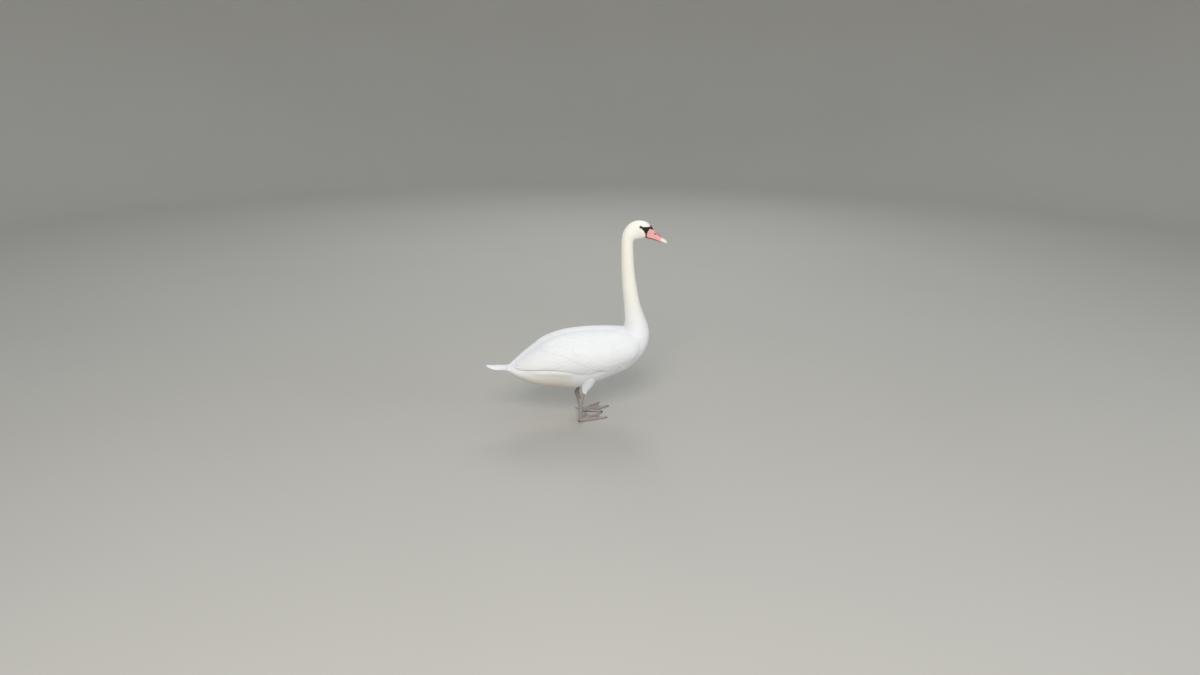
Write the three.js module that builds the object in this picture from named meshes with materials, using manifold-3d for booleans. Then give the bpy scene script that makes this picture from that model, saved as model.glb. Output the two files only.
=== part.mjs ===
// A life-size mute swan, standing on both feet with its neck raised and its wings folded. Millimetres. +X
// is forward (towards the bill), +Y is the bird's left, +Z is up, and the soles stand on Z = 0.
import * as THREE from "three";
import { mergeVertices } from "three/addons/utils/BufferGeometryUtils.js";
import Module from "manifold-3d";

const wasm = await Module();
wasm.setup();

// ---------------------------------------------------------------- driving dimensions
const GAP = 0.4; // clear space between neighbouring pieces
const CENTRE_SHIFT = -2.1; // brings the middle of the bounding box over the origin
const SIDES = [
  { name: "right", sign: -1 },
  { name: "left", sign: 1 },
];

// The trunk, neck and head are one run of rings. Each ring crosses the bird from its back line to its front
// line. back and front are [x, z], half is the half width along Y, and full makes the ring wider above (+)
// or below (-).
const RINGS = [
  { back: [-322, 286], front: [-326, 262], half: 24, full: 0.0 }, // end of the rump
  { back: [-290, 294], front: [-282, 229], half: 54, full: 0.0 },
  { back: [-225, 340], front: [-203, 191], half: 90, full: 0.03 },
  { back: [-140, 393], front: [-118, 171], half: 115, full: 0.05 },
  { back: [-50, 418.5], front: [-22, 157], half: 126, full: 0.06 }, // lowest point of the belly
  { back: [45, 425], front: [72, 176], half: 130, full: 0.06 },
  { back: [120, 424.5], front: [152, 202], half: 128, full: 0.05 },
  { back: [178, 422.5], front: [224, 228], half: 119, full: 0.04 },
  { back: [212, 423], front: [287, 272], half: 105, full: 0.02 },
  { back: [229, 430], front: [330, 325], half: 88, full: 0.0 },
  { back: [232, 446], front: [347.5, 384], half: 71, full: 0.0 }, // front of the breast
  { back: [232, 472], front: [342, 434], half: 57, full: 0.0 }, // foot of the neck
  { back: [230, 508], front: [320, 490], half: 46, full: 0.0 },
  { back: [226, 552], front: [301, 546], half: 38, full: 0.0 },
  { back: [219.5, 612], front: [288, 612], half: 33.5, full: 0.0 },
  { back: [213.5, 700], front: [274, 701], half: 30.5, full: 0.0 },
  { back: [211.5, 786], front: [268, 787], half: 28.5, full: 0.0 },
  { back: [212, 828], front: [267, 821], half: 27.5, full: 0.0 }, // top of the neck
  { back: [215, 861], front: [268, 835], half: 27.5, full: -0.02 },
  { back: [227, 892], front: [274, 842], half: 28, full: -0.05 },
  { back: [249, 916], front: [286, 844.5], half: 28, full: -0.08 },
  { back: [276, 928], front: [300, 846], half: 27.5, full: -0.1 }, // crown
  { back: [304, 928.5], front: [313, 847], half: 25.5, full: -0.1 },
  { back: [329, 921], front: [322, 848], half: 21.5, full: -0.05 },
  { back: [350, 904], front: [329, 849.5], half: 17, full: 0.0 }, // root of the bill
];
const NECK_CUTS = [11.4, 14, 15.6, 17.3]; // ring numbers where trunk, neck lengths and head part
const RING_SIDES = 22;
const ROWS_PER_RING = { trunk: 1.7, neck: 2, head: 2 };

// The folded wing lies on the trunk. Its stations run from the wing tip to the bend of the wing, on the
// same ring numbers. upper and lower are the angles of its edges, in degrees down from the back line, and
// lift is its depth.
const WING = [
  { ring: 0.3, upper: 34, lower: 44, lift: 3 },
  { ring: 0.5, upper: 20, lower: 50, lift: 6 },
  { ring: 1.0, upper: 11, lower: 60, lift: 11 },
  { ring: 2.0, upper: 6, lower: 82, lift: 16 },
  { ring: 3.0, upper: 6, lower: 93, lift: 18 },
  { ring: 4.0, upper: 7, lower: 99, lift: 19 },
  { ring: 5.0, upper: 9, lower: 105, lift: 19 },
  { ring: 6.0, upper: 12, lower: 107, lift: 18 },
  { ring: 7.0, upper: 17, lower: 105, lift: 16 },
  { ring: 8.0, upper: 27, lower: 100, lift: 13 },
  { ring: 8.5, upper: 38, lower: 93, lift: 9 },
  { ring: 8.8, upper: 54, lower: 80, lift: 5 },
];
const WING_EDGE = 4; // depth of the wing at its rim
const WING_CLEARANCE = 2.7; // space between the flat facets of the wing and those of the trunk under it
const WING_GRID = { along: 15, around: 8 };

// The tail is a fan of overlapping blades, the middle ones longest.
const TAIL = {
  root: [-268, 281],
  tip: [-423, 295],
  blades: 9,
  spread: 21, // degrees from the middle to the outermost blade
  shorter: 58, // how much shorter the outermost blade is
  width: 31,
  thick: 3.4,
  arch: 9, // how far the outer blades hang below the middle one
  core: { at: [-290, 0, 280], radii: [48, 30, 12] }, // the feathered root of the fan
};
const BLADE_OUTLINE = [0.5, 0.95, 1.0, 0.8, 0.3]; // share of the blade's width, from root to tip
const BLADE_SECTION = [
  [-1, -0.1],
  [-0.4, 0.5],
  [0.4, 0.5],
  [1, -0.1],
  [0.4, -0.5],
  [-0.4, -0.5],
];

// Legs: each joint is [x, y, z], with y measured outwards from the bird's middle. turn is the foot's,
// outwards.
const LEGS = {
  right: { hip: [30, 74, 262], tuft: [23, 63, 153], ankle: [4, 62, 104], heel: [2, 61, 13], turn: -35 },
  left: { hip: [38, 74, 262], tuft: [29, 62, 153], ankle: [13, 61, 103], heel: [34, 60, 13], turn: 6 },
};
const THIGH = { radii: [52, 47, 36, 25, 13], bow: 10, wide: 0.82 };
const SHIN = { places: [1.5, 1, 0], radii: [8.2, 8, 8.6], wide: 0.84 };
const TARSUS = {
  places: [-0.04, 0.08, 0.25, 0.55, 0.82, 1],
  radii: [11.4, 12.4, 10.2, 9.6, 10.2, 11.4],
  wide: 0.69,
};
// Toes of one foot: length without the claw, angle outwards from straight ahead, radius at the root and at
// the tip.
const TOES = {
  inner: { length: 92, angle: -27, root: 8.2, tip: 4.6, claw: 13, lift: 0 },
  middle: { length: 132, angle: 3, root: 9.2, tip: 5.0, claw: 15, lift: 0 },
  outer: { length: 122, angle: 30, root: 8.4, tip: 4.6, claw: 13, lift: 0 },
  hind: { length: 22, angle: 158, root: 4.6, tip: 3.0, claw: 9, lift: 13 },
};
const KNUCKLE = 0.5; // how much a toe swells and narrows at its joints
const SOLE = 0.86; // height of a toe's centre above the ground, as a share of its radius
const CLAW = { rooted: 3, above: 2.2, shares: [0.72, 0.5], point: 1, wide: 0.8 };
const WEB = { thick: 2.2, lift: 0.9, reach: 3.75, hollow: 0.87 };

// The bill: its top line, its mouth line and its half width, from the root to the tip.
const BILL = [
  { top: [350, 900], mouth: [329.5, 851], half: 16.8, below: 6.4 },
  { top: [359, 889.5], mouth: [344, 847], half: 16.0, below: 6.2 },
  { top: [371, 877.5], mouth: [361, 841.5], half: 15.0, below: 5.6 },
  { top: [384, 865], mouth: [378, 835.5], half: 14.3, below: 5.0 },
  { top: [397, 852.5], mouth: [394, 830.5], half: 14.0, below: 4.4 },
  { top: [410, 842], mouth: [409, 825.5], half: 13.8, below: 3.6 },
  { top: [421, 833.5], mouth: [421, 821.5], half: 11.6, below: 2.6 },
  { top: [427.5, 826], mouth: [427.5, 820.5], half: 5.5, below: 1.6 },
];
const BILL_GRID = { along: 10, around: 8 };
// The arch across the bill rises as a power of a sine, and narrows by these shares towards its crown.
const BILL_ARCH = { power: 0.8, upper: 0.12, lower: 0.1 };
const LOWER_BILL = 0.86; // width of the lower half as a share of the upper
const KNOB = { at: [353, 0, 895], radii: [12, 8.6, 7.4], slope: -42 };
const NOSTRIL = { at: [367, 12.2, 865.5], radii: [6.2, 3.0, 2.2], slope: -30 };
const NAIL = { at: [421, 0, 829], radii: [11, 8.2, 12], slope: -38, thick: 1.3 };
const EYE = { at: [295.5, 19.4, 902], radius: 6.6, flat: 0.8 };

// How finely the round shapes are cut into flat facets, and the sizes of the rings that close a rod's ends.
const FACETS = {
  thigh: 12,
  shin: 8,
  tarsus: 10,
  toe: 8,
  claw: 6,
  egg: 10,
  tailCore: 12,
  nostril: 8,
  knob: 8,
};
const BLUNT_END = [0.65];
const ROUND_END = [0.45, 0.85];

const COLOURS = {
  white: { color: 0xf4f2ea, roughness: 0.85 },
  bill: { color: 0xe07a62, roughness: 0.45 },
  black: { color: 0x17130f, roughness: 0.5 },
  nail: { color: 0x2a2420, roughness: 0.4 },
  eye: { color: 0x1b0f08, roughness: 0.08 },
  leg: { color: 0x8d8078, roughness: 0.6 },
  claw: { color: 0x37302b, roughness: 0.45 },
};

// ---------------------------------------------------------------- small tools
const radians = THREE.MathUtils.degToRad;
const swan = new THREE.Group();

// A smooth row of values at place t along rows of numbers: a Catmull-Rom curve through the rows.
function smoothAt(rows, t) {
  const last = rows.length - 1;
  const i = Math.min(Math.max(Math.floor(t), 0), last - 1);
  const s = Math.min(Math.max(t, 0), last) - i;
  return rows[i].map((p1, k) => {
    const p2 = rows[i + 1][k];
    const p0 = i > 0 ? rows[i - 1][k] : 2 * p1 - p2;
    const p3 = i + 2 <= last ? rows[i + 2][k] : 2 * p2 - p1;
    const a = 2 * p1;
    const b = p2 - p0;
    const c = 2 * p0 - 5 * p1 + 4 * p2 - p3;
    const d = 3 * (p1 - p2) + p3 - p0;
    return 0.5 * (a + s * (b + s * (c + s * d)));
  });
}

// Evenly spaced numbers from a to b.
const steps = (a, b, count) => Array.from({ length: count + 1 }, (_, i) => a + ((b - a) * i) / count);

// The angles of the corners of a ring with so many sides.
const turns = (sides) => Array.from({ length: sides }, (_, j) => (2 * Math.PI * j) / sides);

// A closed solid from rings of points, each end closed with a fan of triangles.
function loft(rings) {
  const sides = rings[0].length;
  const points = rings.flat();
  const middle = (ring) => ring.reduce((sum, p) => sum.add(p), new THREE.Vector3()).divideScalar(sides);
  points.push(middle(rings[0]), middle(rings.at(-1)));
  const faces = [];
  const end = (rings.length - 1) * sides;
  for (let j = 0; j < sides; j++) {
    const k = (j + 1) % sides;
    for (let i = 0; i < end; i += sides) {
      faces.push(i + j, i + k, i + sides + k);
      faces.push(i + j, i + sides + k, i + sides + j);
    }
    faces.push(points.length - 2, k, j);
    faces.push(points.length - 1, end + j, end + k);
  }
  const geometry = new THREE.BufferGeometry().setFromPoints(points);
  geometry.setIndex(faces);
  return solid(geometry);
}

// A manifold-3d solid from a closed geometry, turned to face outwards.
function solid(geometry) {
  const bare = geometry.clone();
  bare.deleteAttribute("normal");
  bare.deleteAttribute("uv");
  const merged = mergeVertices(bare, 1e-4);
  const vertProperties = merged.attributes.position.array;
  const make = (triVerts) => new wasm.Manifold(new wasm.Mesh({ numProp: 3, vertProperties, triVerts }));
  const triVerts = new Uint32Array(merged.index.array);
  const made = make(triVerts);
  return made.volume() > 0 ? made : make(triVerts.reverse());
}

// A three.js geometry from a solid.
function geometryOf(made) {
  const { vertProperties, triVerts, numProp, numVert } = made.getMesh();
  const position = new Float32Array(numVert * 3);
  for (let i = 0; i < numVert; i++) {
    position.set(vertProperties.subarray(i * numProp, i * numProp + 3), i * 3);
  }
  const geometry = new THREE.BufferGeometry();
  geometry.setAttribute("position", new THREE.BufferAttribute(position, 3));
  geometry.setIndex(new THREE.BufferAttribute(new Uint32Array(triVerts), 1));
  geometry.computeVertexNormals();
  return geometry;
}

// Adds a named piece to the bird. Only the largest body of the solid is kept, so slivers left by a cut are
// dropped.
function add(name, made, finish) {
  const largest = made.decompose().sort((a, b) => b.volume() - a.volume())[0];
  const material = new THREE.MeshStandardMaterial({ metalness: 0, ...COLOURS[finish] });
  const mesh = new THREE.Mesh(geometryOf(largest), material);
  mesh.name = name;
  swan.add(mesh);
}

// An egg shape with its own radii along X, Y and Z, tipped about Y by slope degrees.
function egg({ at, radii, slope = 0 }, sides = FACETS.egg) {
  const geometry = new THREE.SphereGeometry(1, sides, sides);
  geometry.scale(...radii);
  geometry.rotateY(radians(-slope));
  geometry.translate(...at);
  return solid(geometry);
}

// The same shape on the other side of the bird, for a place whose y is measured outwards.
const onSide = ({ at, ...rest }, sign) => ({ ...rest, at: [at[0], sign * at[1], at[2]] });

// A round rod through points, with its own radius at each. In its look, wide flattens it sideways, sides and
// stepsPerPoint set its facets, grow makes the whole rod that much thicker, and dome holds the sizes of the
// rings that round off its ends.
function rod(points, radii, look = {}) {
  const { sides = FACETS.toe, wide = 1, stepsPerPoint = 1, grow = 0, dome = BLUNT_END } = look;
  const rows = points.map((p, i) => [...p, radii[i] + grow]);
  const last = rows.length - 1;
  const stations = [
    ...dome.map((size) => ({ t: 0, out: size - 1, size })),
    ...steps(0, last, stepsPerPoint * last).map((t) => ({ t, out: 0, size: 1 })),
    ...dome.map((size) => ({ t: last, out: 1 - size, size })).reverse(),
  ];
  const near = 0.05;
  const rings = stations.map(({ t, out, size }) => {
    const [x, y, z, radius] = smoothAt(rows, t);
    const ahead = new THREE.Vector3(...smoothAt(rows, Math.min(t + near, last)));
    const along = ahead.sub(new THREE.Vector3(...smoothAt(rows, Math.max(t - near, 0)))).normalize();
    const across = new THREE.Vector3(0, 1, 0);
    across.addScaledVector(along, -along.y).normalize();
    const up = new THREE.Vector3().crossVectors(along, across);
    const centre = new THREE.Vector3(x, y, z).addScaledVector(along, out * radius);
    return turns(sides).map((a) =>
      centre
        .clone()
        .addScaledVector(up, Math.cos(a) * radius * size)
        .addScaledVector(across, Math.sin(a) * radius * size * wide),
    );
  });
  return loft(rings);
}

// ---------------------------------------------------------------- trunk, neck and head
const ringRows = RINGS.map(({ back, front, half, full }) => [...back, ...front, half, full]);

// A point of the bird's outer surface: ring number, angle down from the back line (+ is left), and a lift
// off it.
function bodyPoint(ring, angle, lift = 0) {
  const [backX, backZ, frontX, frontZ, half, full] = smoothAt(ringRows, ring);
  const up = new THREE.Vector3(backX - frontX, 0, backZ - frontZ);
  const height = up.length() / 2;
  const c = Math.cos(angle);
  const s = Math.sin(angle);
  return new THREE.Vector3((backX + frontX) / 2, 0, (backZ + frontZ) / 2)
    .addScaledVector(up.normalize(), (height + lift) * c)
    .add(new THREE.Vector3(0, (half + lift) * s * (1 + full * c), 0));
}

// One length of the run, between two ring numbers.
function bodyLength(from, to, rowsPerRing, lift = 0) {
  const rows = Math.round((to - from) * rowsPerRing);
  const angles = turns(RING_SIDES);
  return loft(steps(from, to, rows).map((ring) => angles.map((angle) => bodyPoint(ring, angle, lift))));
}

// The ring number just past a cut, one gap further along the run.
function pastCut(ring) {
  const side = Math.PI / 2;
  const step = 0.01;
  const perStep = bodyPoint(ring, side).distanceTo(bodyPoint(ring + step, side));
  return ring + (step * GAP) / perStep;
}

// ---------------------------------------------------------------- wings
// One folded wing: a shell that lies on the trunk, deepest along its middle. Each ring of the shell runs
// out over its outer face and back under its inner one.
function wing(sign) {
  const rows = WING.map(({ ring, upper, lower, lift }) => [ring, upper, lower, lift]);
  const rings = steps(0, rows.length - 1, WING_GRID.along).map((t) => {
    const [ring, upper, lower, lift] = smoothAt(rows, t);
    const rim = Math.min(WING_EDGE, lift);
    const shares = steps(0, 1, WING_GRID.around);
    const angleAt = (share) => sign * radians(upper + (lower - upper) * share);
    const depthAt = (share) => WING_CLEARANCE + rim + (lift - rim) * Math.sin(Math.PI * share) ** 0.6;
    const outer = shares.map((share) => bodyPoint(ring, angleAt(share), depthAt(share)));
    const inner = shares.map((share) => bodyPoint(ring, angleAt(share), WING_CLEARANCE));
    return [...outer, ...inner.reverse()];
  });
  return loft(rings);
}

// ---------------------------------------------------------------- tail
// One blade of the fan. share runs from -1 at the outermost right blade to 1 at the outermost left one.
function tailBlade(share) {
  const { root, tip, spread, shorter, width, thick, arch } = TAIL;
  const angle = radians(spread * share);
  const length = Math.hypot(tip[0] - root[0], tip[1] - root[1]) - shorter * share * share;
  const rise = (tip[1] - root[1]) / (root[0] - tip[0]);
  const side = new THREE.Vector3(Math.sin(angle), Math.cos(angle), 0);
  const rings = BLADE_OUTLINE.map((wide, i) => {
    const run = (length * i) / (BLADE_OUTLINE.length - 1);
    const z = root[1] + run * rise - arch * share * share;
    const centre = new THREE.Vector3(root[0] - run * Math.cos(angle), run * Math.sin(angle), z);
    return BLADE_SECTION.map(([a, b]) =>
      centre
        .clone()
        .addScaledVector(side, (a * wide * width) / 2)
        .add(new THREE.Vector3(0, 0, b * thick)),
    );
  });
  return loft(rings);
}

const tail = () =>
  steps(-1, 1, TAIL.blades - 1)
    .map(tailBlade)
    .reduce((sum, blade) => sum.add(blade), egg(TAIL.core, FACETS.tailCore));

// ---------------------------------------------------------------- legs and feet
function ground() {
  const depth = 100;
  const box = new THREE.BoxGeometry(1000, 1000, depth);
  box.translate(0, 0, -depth / 2);
  return solid(box);
}

// A place part of the way between two joints, on one side of the bird.
const between = (a, b, t, sign) => a.map((v, i) => (i === 1 ? sign : 1) * (v + (b[i] - v) * t));

function thigh({ hip, tuft }, sign) {
  const points = steps(0, 1, THIGH.radii.length - 1).map((t) => {
    const [x, y, z] = between(hip, tuft, t, sign);
    return [x + THIGH.bow * Math.sin(Math.PI * t), y, z];
  });
  const look = { sides: FACETS.thigh, wide: THIGH.wide, stepsPerPoint: 2, dome: ROUND_END };
  return rod(points, THIGH.radii, look);
}

function shin({ tuft, ankle }, sign, grow = 0) {
  const points = SHIN.places.map((t) => between(ankle, tuft, t, sign));
  return rod(points, SHIN.radii, { sides: FACETS.shin, wide: SHIN.wide, stepsPerPoint: 2, grow });
}

function tarsus({ ankle, heel }, sign, grow = 0) {
  const points = TARSUS.places.map((t) => between(ankle, heel, t, sign));
  return rod(points, TARSUS.radii, { sides: FACETS.tarsus, wide: TARSUS.wide, grow });
}

// The line of a toe on the ground, from the heel joint: points, and radii that swell at the knuckles.
function toeLine({ length, angle, root, tip, lift }, { heel, turn }, sign) {
  const a = radians(turn + angle);
  const drop = 4; // the toe comes down from the heel joint within a quarter of its length
  return steps(0, 1, 4).map((t, i) => {
    const radius = root + (tip - root) * t + (i % 2 ? -KNUCKLE : KNUCKLE);
    const z = Math.max(radius * SOLE, (heel[2] - radius) * (1 - t * drop)) + lift * t;
    const point = [heel[0] + length * t * Math.cos(a), sign * (heel[1] + length * t * Math.sin(a)), z];
    return { point, radius };
  });
}

function toe(line, grow = 0) {
  const points = line.map(({ point }) => point);
  const radii = line.map(({ radius }) => radius);
  return rod(points, radii, { grow });
}

// A claw: a short tapering hook on the end of a toe, its point near the ground.
function claw(line, length) {
  const { point, radius } = line.at(-1);
  const end = new THREE.Vector3(...point);
  const along = end.clone().sub(new THREE.Vector3(...line.at(-2).point));
  along.setZ(0).normalize();
  const place = (run, z) => [end.x + along.x * run, end.y + along.y * run, z];
  const drop = end.z - radius * SOLE;
  const points = [
    place(-CLAW.rooted, drop + radius),
    place(length / 2, drop + radius),
    place(length, drop + CLAW.above),
  ];
  const radii = [...CLAW.shares.map((share) => share * radius), CLAW.point];
  return rod(points, radii, { sides: FACETS.claw, wide: CLAW.wide });
}

// The web between the toes: a thin plate whose front edges are hollow between the toe tips.
function web(lines) {
  const flat = (line, t) => {
    const points = line.map(({ point }) => point);
    return smoothAt(points, t).slice(0, 2);
  };
  const heel = flat(lines[1], 0);
  const tips = lines.map((line) => flat(line, WEB.reach));
  const hollow = (a, b) => a.map((v, i) => heel[i] + ((v + b[i]) / 2 - heel[i]) * WEB.hollow);
  const shape = new THREE.Shape();
  shape.moveTo(...heel);
  shape.lineTo(...tips[0]);
  shape.quadraticCurveTo(...hollow(tips[0], tips[1]), ...tips[1]);
  shape.quadraticCurveTo(...hollow(tips[1], tips[2]), ...tips[2]);
  shape.lineTo(...heel);
  const geometry = new THREE.ExtrudeGeometry(shape, {
    depth: WEB.thick,
    bevelEnabled: false,
    curveSegments: 4,
  });
  geometry.translate(0, 0, WEB.lift);
  return solid(geometry);
}

// The pieces of one leg, from the thigh to the claws.
function addLeg({ name, sign }, trunkRoom, floor) {
  const leg = LEGS[name];
  const toes = Object.entries(TOES).map(([toeName, size]) => {
    return { toeName, size, line: toeLine(size, leg, sign) };
  });
  const tarsusRoom = tarsus(leg, sign, GAP);
  add(`thigh_${name}`, thigh(leg, sign).subtract(trunkRoom).subtract(shin(leg, sign, GAP)), "white");
  add(`shin_${name}`, shin(leg, sign).subtract(tarsusRoom).subtract(trunkRoom), "leg");
  add(`tarsus_${name}`, tarsus(leg, sign).subtract(floor), "leg");
  const webbed = toes.slice(0, 3).map(({ line }) => line);
  const foot = toes.map(({ line }) => toe(line)).reduce((sum, one) => sum.add(one), web(webbed));
  add(`foot_${name}`, foot.subtract(floor).subtract(tarsusRoom), "leg");
  for (const { toeName, size, line } of toes) {
    add(`claw_${name}_${toeName}`, claw(line, size.claw).subtract(floor).subtract(toe(line, GAP)), "claw");
  }
}

// ---------------------------------------------------------------- bill
const billRows = BILL.map(({ top, mouth, half, below }) => [...top, ...mouth, half, below]);
const billStations = steps(0, BILL.length - 1, BILL_GRID.along).map((t) => smoothAt(billRows, t));

// A half-round section: an arch of the given half width and height above (+) or below (-) a flat line at
// [x, z]. lean is how far the arch's crown stands ahead of its foot.
function archSection([x, z], half, height, lean, narrow) {
  const arch = steps(0, Math.PI, BILL_GRID.around).map((a) => {
    const rise = Math.sin(a) ** BILL_ARCH.power;
    return new THREE.Vector3(x + lean * rise, half * Math.cos(a) * (1 - narrow * rise), z + height * rise);
  });
  return [...arch, new THREE.Vector3(x, 0, z)];
}

function upperBill(grow = 0) {
  const clear = 0.3; // keeps the bill off the front of the head
  return loft(
    billStations.map(([topX, topZ, mouthX, mouthZ, half], i) => {
      const shift = i === 0 ? GAP + clear : 0;
      const foot = [mouthX + shift, mouthZ - grow];
      return archSection(foot, half + grow, topZ - mouthZ + 2 * grow, topX - mouthX, BILL_ARCH.upper);
    }),
  );
}

function lowerBill() {
  return loft(
    billStations.map(([, , mouthX, mouthZ, half, below]) =>
      archSection([mouthX + GAP, mouthZ - GAP], half * LOWER_BILL, -below, 0, BILL_ARCH.lower),
    ),
  );
}

function addBill(headRoom) {
  const bill = upperBill();
  const billRoom = upperBill(GAP);
  const nostrils = SIDES.map(({ sign }) => egg(onSide(NOSTRIL, sign), FACETS.nostril));
  add("bill_upper", nostrils.reduce((sum, hole) => sum.subtract(hole), bill).subtract(headRoom), "bill");
  add("bill_lower", lowerBill().subtract(headRoom), "bill");
  add("bill_knob", egg(KNOB, FACETS.knob).subtract(billRoom).subtract(headRoom), "black");
  add("bill_nail", upperBill(GAP + NAIL.thick).intersect(egg(NAIL)).subtract(billRoom), "nail");
}

// ---------------------------------------------------------------- head
function addHead() {
  const from = pastCut(NECK_CUTS.at(-1));
  const length = (lift) => bodyLength(from, RINGS.length - 1, ROWS_PER_RING.head, lift);
  const radiiOf = (grow) => [EYE.radius + grow, EYE.radius * EYE.flat + grow, EYE.radius + grow];
  const eye = (sign, grow) => egg({ ...onSide(EYE, sign), radii: radiiOf(grow) });
  const head = SIDES.reduce((sum, { sign }) => sum.subtract(eye(sign, GAP)), length(0));
  add("head", head, "white");
  SIDES.forEach(({ name, sign }) => add(`eye_${name}`, eye(sign, 0), "eye"));
  addBill(length(GAP));
}

// ---------------------------------------------------------------- the whole bird
function addTrunk() {
  const length = (lift) => bodyLength(0, NECK_CUTS[0], ROWS_PER_RING.trunk, lift);
  const room = length(GAP);
  const fan = tail().subtract(room);
  add("trunk", length(0), "white");
  add("tail", fan, "white");
  SIDES.forEach(({ name, sign }) => add(`wing_${name}`, wing(sign).subtract(tail()), "white"));
  const floor = ground();
  SIDES.forEach((side) => addLeg(side, room, floor));
}

function addNeck() {
  ["neck_lower", "neck_middle", "neck_upper"].forEach((name, i) => {
    add(name, bodyLength(pastCut(NECK_CUTS[i]), NECK_CUTS[i + 1], ROWS_PER_RING.neck), "white");
  });
}

addTrunk();
addNeck();
addHead();
swan.position.x = CENTRE_SHIFT;

export default swan;
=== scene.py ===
"""The looks of a life-size mute swan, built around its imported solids.

Metres. +X is forward (towards the bill), +Y is the bird's left, +Z is up, and the soles stand on Z = 0.
Tables that hold millimetres say so, and MM turns them into metres.
"""

import functools
import math

import bpy
import numpy as np
from bpy.props import FloatProperty, FloatVectorProperty, IntProperty, PointerProperty
from bpy.types import Operator, Panel, PropertyGroup
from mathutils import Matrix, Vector


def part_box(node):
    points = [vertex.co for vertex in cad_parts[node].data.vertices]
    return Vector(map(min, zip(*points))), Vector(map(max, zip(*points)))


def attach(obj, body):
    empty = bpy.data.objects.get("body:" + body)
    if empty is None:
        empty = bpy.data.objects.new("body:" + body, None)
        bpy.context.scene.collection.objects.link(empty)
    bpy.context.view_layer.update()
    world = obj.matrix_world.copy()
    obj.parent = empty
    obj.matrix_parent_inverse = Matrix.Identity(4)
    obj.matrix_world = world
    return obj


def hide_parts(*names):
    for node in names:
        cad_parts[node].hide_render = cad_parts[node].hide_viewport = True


bl_info = {
    "name": "Mute Swan",
    "version": (1, 0, 0),
    "blender": (4, 5, 0),
    "location": "3D View > Sidebar > Swan",
    "description": "Skin, plumage, bill, eyes and legs of a standing mute swan",
    "category": "Add Mesh",
}

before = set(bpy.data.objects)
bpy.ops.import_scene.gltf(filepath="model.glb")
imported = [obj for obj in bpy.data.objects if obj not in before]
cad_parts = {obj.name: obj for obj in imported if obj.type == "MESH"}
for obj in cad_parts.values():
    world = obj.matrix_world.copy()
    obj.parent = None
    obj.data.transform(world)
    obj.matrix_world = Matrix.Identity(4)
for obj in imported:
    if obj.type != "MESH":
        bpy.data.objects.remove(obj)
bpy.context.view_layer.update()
MM = 0.001
BODY = "root"
SIDES = {"right": -1, "left": 1}

# ---------------------------------------------------------------- driving dimensions, in millimetres
EYE = {"at": (295.5, 19.4, 902.0), "radius": 6.6, "flat": 0.8, "up": 15, "ahead": 9}
# Lids: their opening, how much wider it is at its corners, and their outer edge in degrees, then
# millimetres.
LID = {"open": 40, "corner": 13, "edge": 98, "clear": 0.12, "lip": 0.8, "inside": 0.35, "crease": 0.12}

# Rings of the trunk, neck and head: back x and z, front x and z, half width, and fullness above (+) or
# below (-). The first two, numbered -2 and -1, are a sleeve round the root of the tail, on which its
# coverts lie.
RINGS = np.array(
    [
        (-386, 292, -388, 281, 34, 0.0),
        (-353, 289.5, -355, 269, 29, 0.0),
        (-322, 286, -326, 262, 24, 0.0),
        (-290, 294, -282, 229, 54, 0.0),
        (-225, 340, -203, 191, 90, 0.03),
        (-140, 393, -118, 171, 115, 0.05),
        (-50, 418.5, -22, 157, 126, 0.06),
        (45, 425, 72, 176, 130, 0.06),
        (120, 424.5, 152, 202, 128, 0.05),
        (178, 422.5, 224, 228, 119, 0.04),
        (212, 423, 287, 272, 105, 0.02),
        (229, 430, 330, 325, 88, 0.0),
        (232, 446, 347.5, 384, 71, 0.0),
        (232, 472, 342, 434, 57, 0.0),
        (230, 508, 320, 490, 46, 0.0),
        (226, 552, 301, 546, 38, 0.0),
        (219.5, 612, 288, 612, 33.5, 0.0),
        (213.5, 700, 274, 701, 30.5, 0.0),
        (211.5, 786, 268, 787, 28.5, 0.0),
        (212, 828, 267, 821, 27.5, 0.0),
        (215, 861, 268, 835, 27.5, -0.02),
        (227, 892, 274, 842, 28, -0.05),
        (249, 916, 286, 844.5, 28, -0.08),
        (276, 928, 300, 846, 27.5, -0.1),
        (304, 928.5, 313, 847, 25.5, -0.1),
        (329, 921, 322, 848, 21.5, -0.05),
        (350, 904, 329, 849.5, 17, 0.0),
    ]
)
SLEEVE_RINGS = 2
LAST_RING = len(RINGS) - 1 - SLEEVE_RINGS

# Stations of the folded wing, from its tip to its bend: ring number, angles of its upper and lower edge,
# depth.
WING = np.array(
    [
        (0.3, 34, 44, 3),
        (0.5, 20, 50, 6),
        (1.0, 11, 60, 11),
        (2.0, 6, 82, 16),
        (3.0, 6, 93, 18),
        (4.0, 7, 99, 19),
        (5.0, 9, 105, 19),
        (6.0, 12, 107, 18),
        (7.0, 17, 105, 16),
        (8.0, 27, 100, 13),
        (8.5, 38, 93, 9),
        (8.8, 54, 80, 5),
    ]
)
WING_EDGE = 4.0  # depth of the wing's rim
WING_CLEARANCE = 2.7  # feathers under it
WING_ROUND = 2.6  # power by which its depth falls off to its edges
WING_BEND = (7.0, 7.6)  # rings over which the lower half starts, from the rear
UPPER_SKIRT = 9.0  # degrees over which the surface sinks from the wing's upper edge to the back
END_SKIRT = 0.4  # the same past its ends, in rings
GROOVE_WIDE = 8.0  # degrees
# How far the body draws in under the wing's lower edge (-) or the flank's feathers swell out there (+),
# by ring.
GROOVE = np.array(
    [(0.3, -1), (1.5, 0), (2.2, 6.6), (3.6, 6.6), (4.2, -1), (5.2, -1), (6.0, 3), (7.6, 3), (8.7, 0)]
)

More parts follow.
